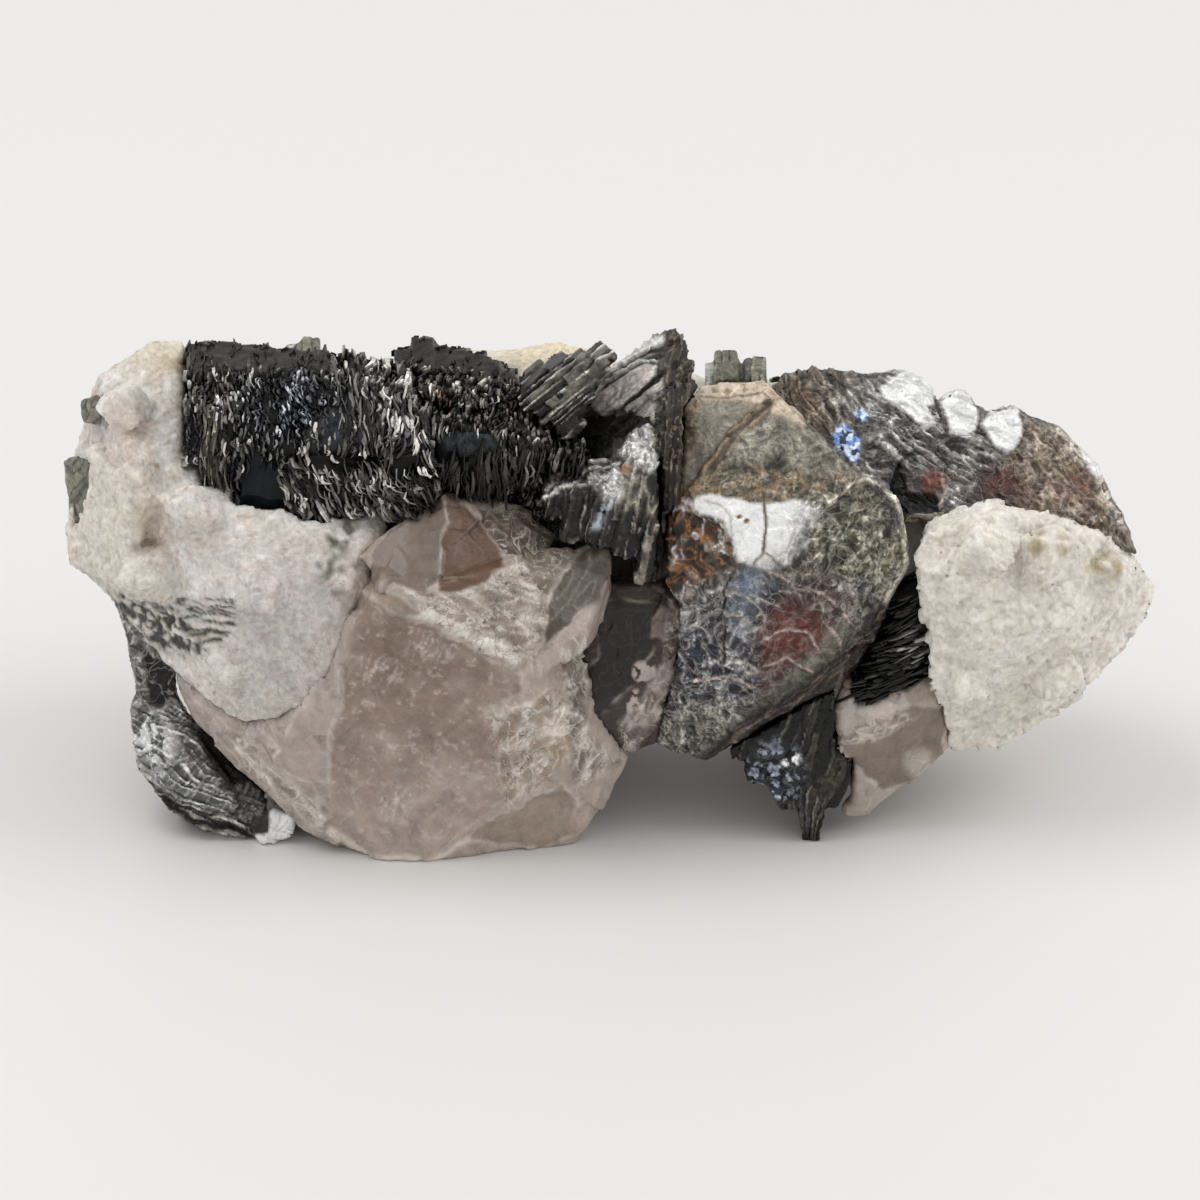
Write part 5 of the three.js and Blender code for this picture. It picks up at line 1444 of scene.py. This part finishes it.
def silver_roof(c):
    """The wrinkled roof, the olive face to its right, and a blue-grey glint."""
    roof = c.patch((-4.4, 9.4), (0.6, 10.4), (1.2, 8.4), (0.2, 7.4), (-3.8, 7.4), soft=0.3)
    c.put(roof, (0.06, 0.055, 0.05), 0.3, 0.2, 0, 0.3, 0.8)
    for k, arc in enumerate((((-3.6, 7.3), (-2.6, 8.2), (-0.8, 8.6), (1.2, 9)),
                             ((-3.7, 6.7), (-2.4, 7.5), (-0.6, 7.7)), ((-3.2, 8), (-1.8, 8.9), (0.4, 9.4)),
                             ((-0.5, 8.2), (0.6, 7.6), (1.2, 6.6)))):
        c.put(c.line(*arc, width=0.13) * (c.noise(0.8, 397 + k) > -0.4), (0.7, 0.68, 0.64), 0.25, 0.3, 0.12)
    olive = c.patch((1.2, 7.8), (4.2, 8.4), (4.2, 4.4), (1.8, 4.6), soft=0.3)
    c.put(olive * c.fibres(2.2, 0.7, 62, 401, 7), (0.44, 0.4, 0.32), 0.3, 0.3, 0.1)
    c.put(c.line((0.9, 6.8), (0.3, 5.9), (-0.3, 4.9), width=0.28) * (c.noise(0.6, 402) > -0.4),
          (0.46, 0.5, 0.56), 0.2, 0.3)


def silver_glint_facets(c):
    """Crumpled facets painted bright, as painted highlights; says where they are."""
    facets = c.patch((1.2, 9.7), (2.1, 10.9), (3.3, 11.4), (3.9, 10.5), (4.1, 9.3), (3.3, 8.4), (2.1, 8.7),
                     soft=0.2)
    facets = np.maximum(facets, c.patch((-0.6, 8.2), (1.2, 8.5), (1.5, 7), (0.4, 6.4), soft=0.3))
    tone = grain_tone(c.mm, 1.1, 399)
    # painted highlights: light facets and white crinkle lines
    c.put(facets, (0.3, 0.29, 0.265), 0.25, 0.3, 0.15, 0.3, 0.6)
    c.put(facets * (tone > 0.45), (0.66, 0.65, 0.61), 0.22, 0.3, 0.05)
    c.put(facets * np.maximum(c.curls(1.2, 405, 12), c.fibres(1.8, 0.8, 40, 407, 12)),
          (0.95, 0.94, 0.92), 0.2, 0.3, 0.1)
    c.put(0.9 * c.spot((1.9, 8.5), (0.5, 0.35)) * (tone > 0.3), (0.25, 0.13, 0.07), 0.5)
    return facets


def silver_book():
    """Crumpled facets above, painted bright as highlights, a wrinkled roof, and dark upright leaves with
    light streaks.
    """
    c = Canvas("silver_mica_book", 0.18, (0.016, 0.015, 0.013), rough=0.3, metal=0.2, wobble=0.12,
               crumple=0.5)
    silver_columns(c)
    silver_roof(c)
    facets = silver_glint_facets(c)
    brown = held((c.u - 4) / 0.5)
    fibrous(c, brown, (0.34, 0.25, 0.17), (0.03, 0.022, 0.016), 401, 55, 1.4, 0.4)
    c.put(c.patch((-2.4, 12.6), (3.2, 12.6), (1.2, 10.2), (-2.4, 9.8), soft=0.3), BLACK, 0.5)
    c.lift += 0.12 * c.noise(0.9, 403, 2) + facets * grains(c.mm, 1.1, 399, 0.35, 0.1)
    c.done(MICA_FACES)


def edge_flakes(node):
    """Olive flakes with dark streaks and flat faces."""
    c = Canvas(node, 0.16, (0.2, 0.195, 0.15), rough=0.4, metal=0.1, crumple=0.3)
    c.put(c.noise(0.9, 271, 2), (0.42, 0.41, 0.33))
    c.put(0.9 * c.fibres(1.4, 0.6, 60, 273, 7), (0.05, 0.05, 0.038), 0.4, None, -0.08)
    c.lift += 0.1 * c.noise(0.9, 275, 2)
    c.done(MICA_FACES, smooth=False)


front_plate()
rear_plate()
lower_left_book()
tall_book()
sheaf()
stub("mica_stub", 411)
stub("small_mica_stub", 421)
foot()
silver_book()
dark_edge()
edge_flakes("left_mica_flakes")
edge_flakes("upper_left_mica_flakes")


# ---------- floor, light and camera, in metres ----------
FLOOR_HALF = 1.5
PANEL_SIZE = 0.44
PANELS = {"right_panel": (0.475, 0.40, 1.12), "left_panel": (-0.29, 0.547, 1.34)}   # side, height, watts
SKY_STRENGTH = 0.67
CAMERA_AWAY = 1.2
PICTURE_WIDTH = 0.080      # how much of the drawing plane the camera sees
SENSOR_MM = 36


def floor():
    """A pale square under the specimen."""
    h = FLOOR_HALF
    corners = np.array([(-h, -h, 0), (h, -h, 0), (h, h, 0), (-h, h, 0)])
    obj = mesh_object("floor", corners, np.array([(0, 1, 2, 3)]))
    s = Shader("pale_floor")
    s.feed(s.bsdf, {"Base Color": (0.80, 0.795, 0.785, 1), "Roughness": 0.5})
    obj.data.materials.append(s.material)


def soft_light(name, side, height, watts):
    """A square light panel that looks at the object from one side."""
    light = bpy.data.lights.new(name, "AREA")
    light.shape = "SQUARE"
    light.size = PANEL_SIZE
    light.energy = watts
    obj = bpy.data.objects.new(name, light)
    obj.location = (side, 0, height)
    obj.rotation_euler = (-Vector(obj.location)).to_track_quat("-Z", "Y").to_euler()
    scene.collection.objects.link(obj)


def world():
    """Even, slightly warm white light from all around."""
    studio = bpy.data.worlds.new("studio")
    studio.use_nodes = True
    sky = studio.node_tree.nodes["Background"]
    sky.inputs["Color"].default_value = (1.0, 0.995, 0.985, 1)
    sky.inputs["Strength"].default_value = SKY_STRENGTH
    scene.world = studio


def camera():
    """Looks straight down the drawing plane's normal."""
    lens = bpy.data.cameras.new("camera")
    lens.sensor_width = SENSOR_MM
    lens.lens = SENSOR_MM * CAMERA_AWAY / PICTURE_WIDTH
    lens.clip_start = 0.01
    lens.clip_end = 20
    obj = bpy.data.objects.new("camera", lens)
    obj.location = SIGHT * MM + OUT * CAMERA_AWAY
    obj.rotation_euler = Vector(-OUT).to_track_quat("-Z", "Y").to_euler()
    scene.collection.objects.link(obj)
    scene.camera = obj


floor()
world()
for panel, place in PANELS.items():
    soft_light(panel, *place)
camera()
scene.view_settings.view_transform = "Standard"
scene.view_settings.look = "None"
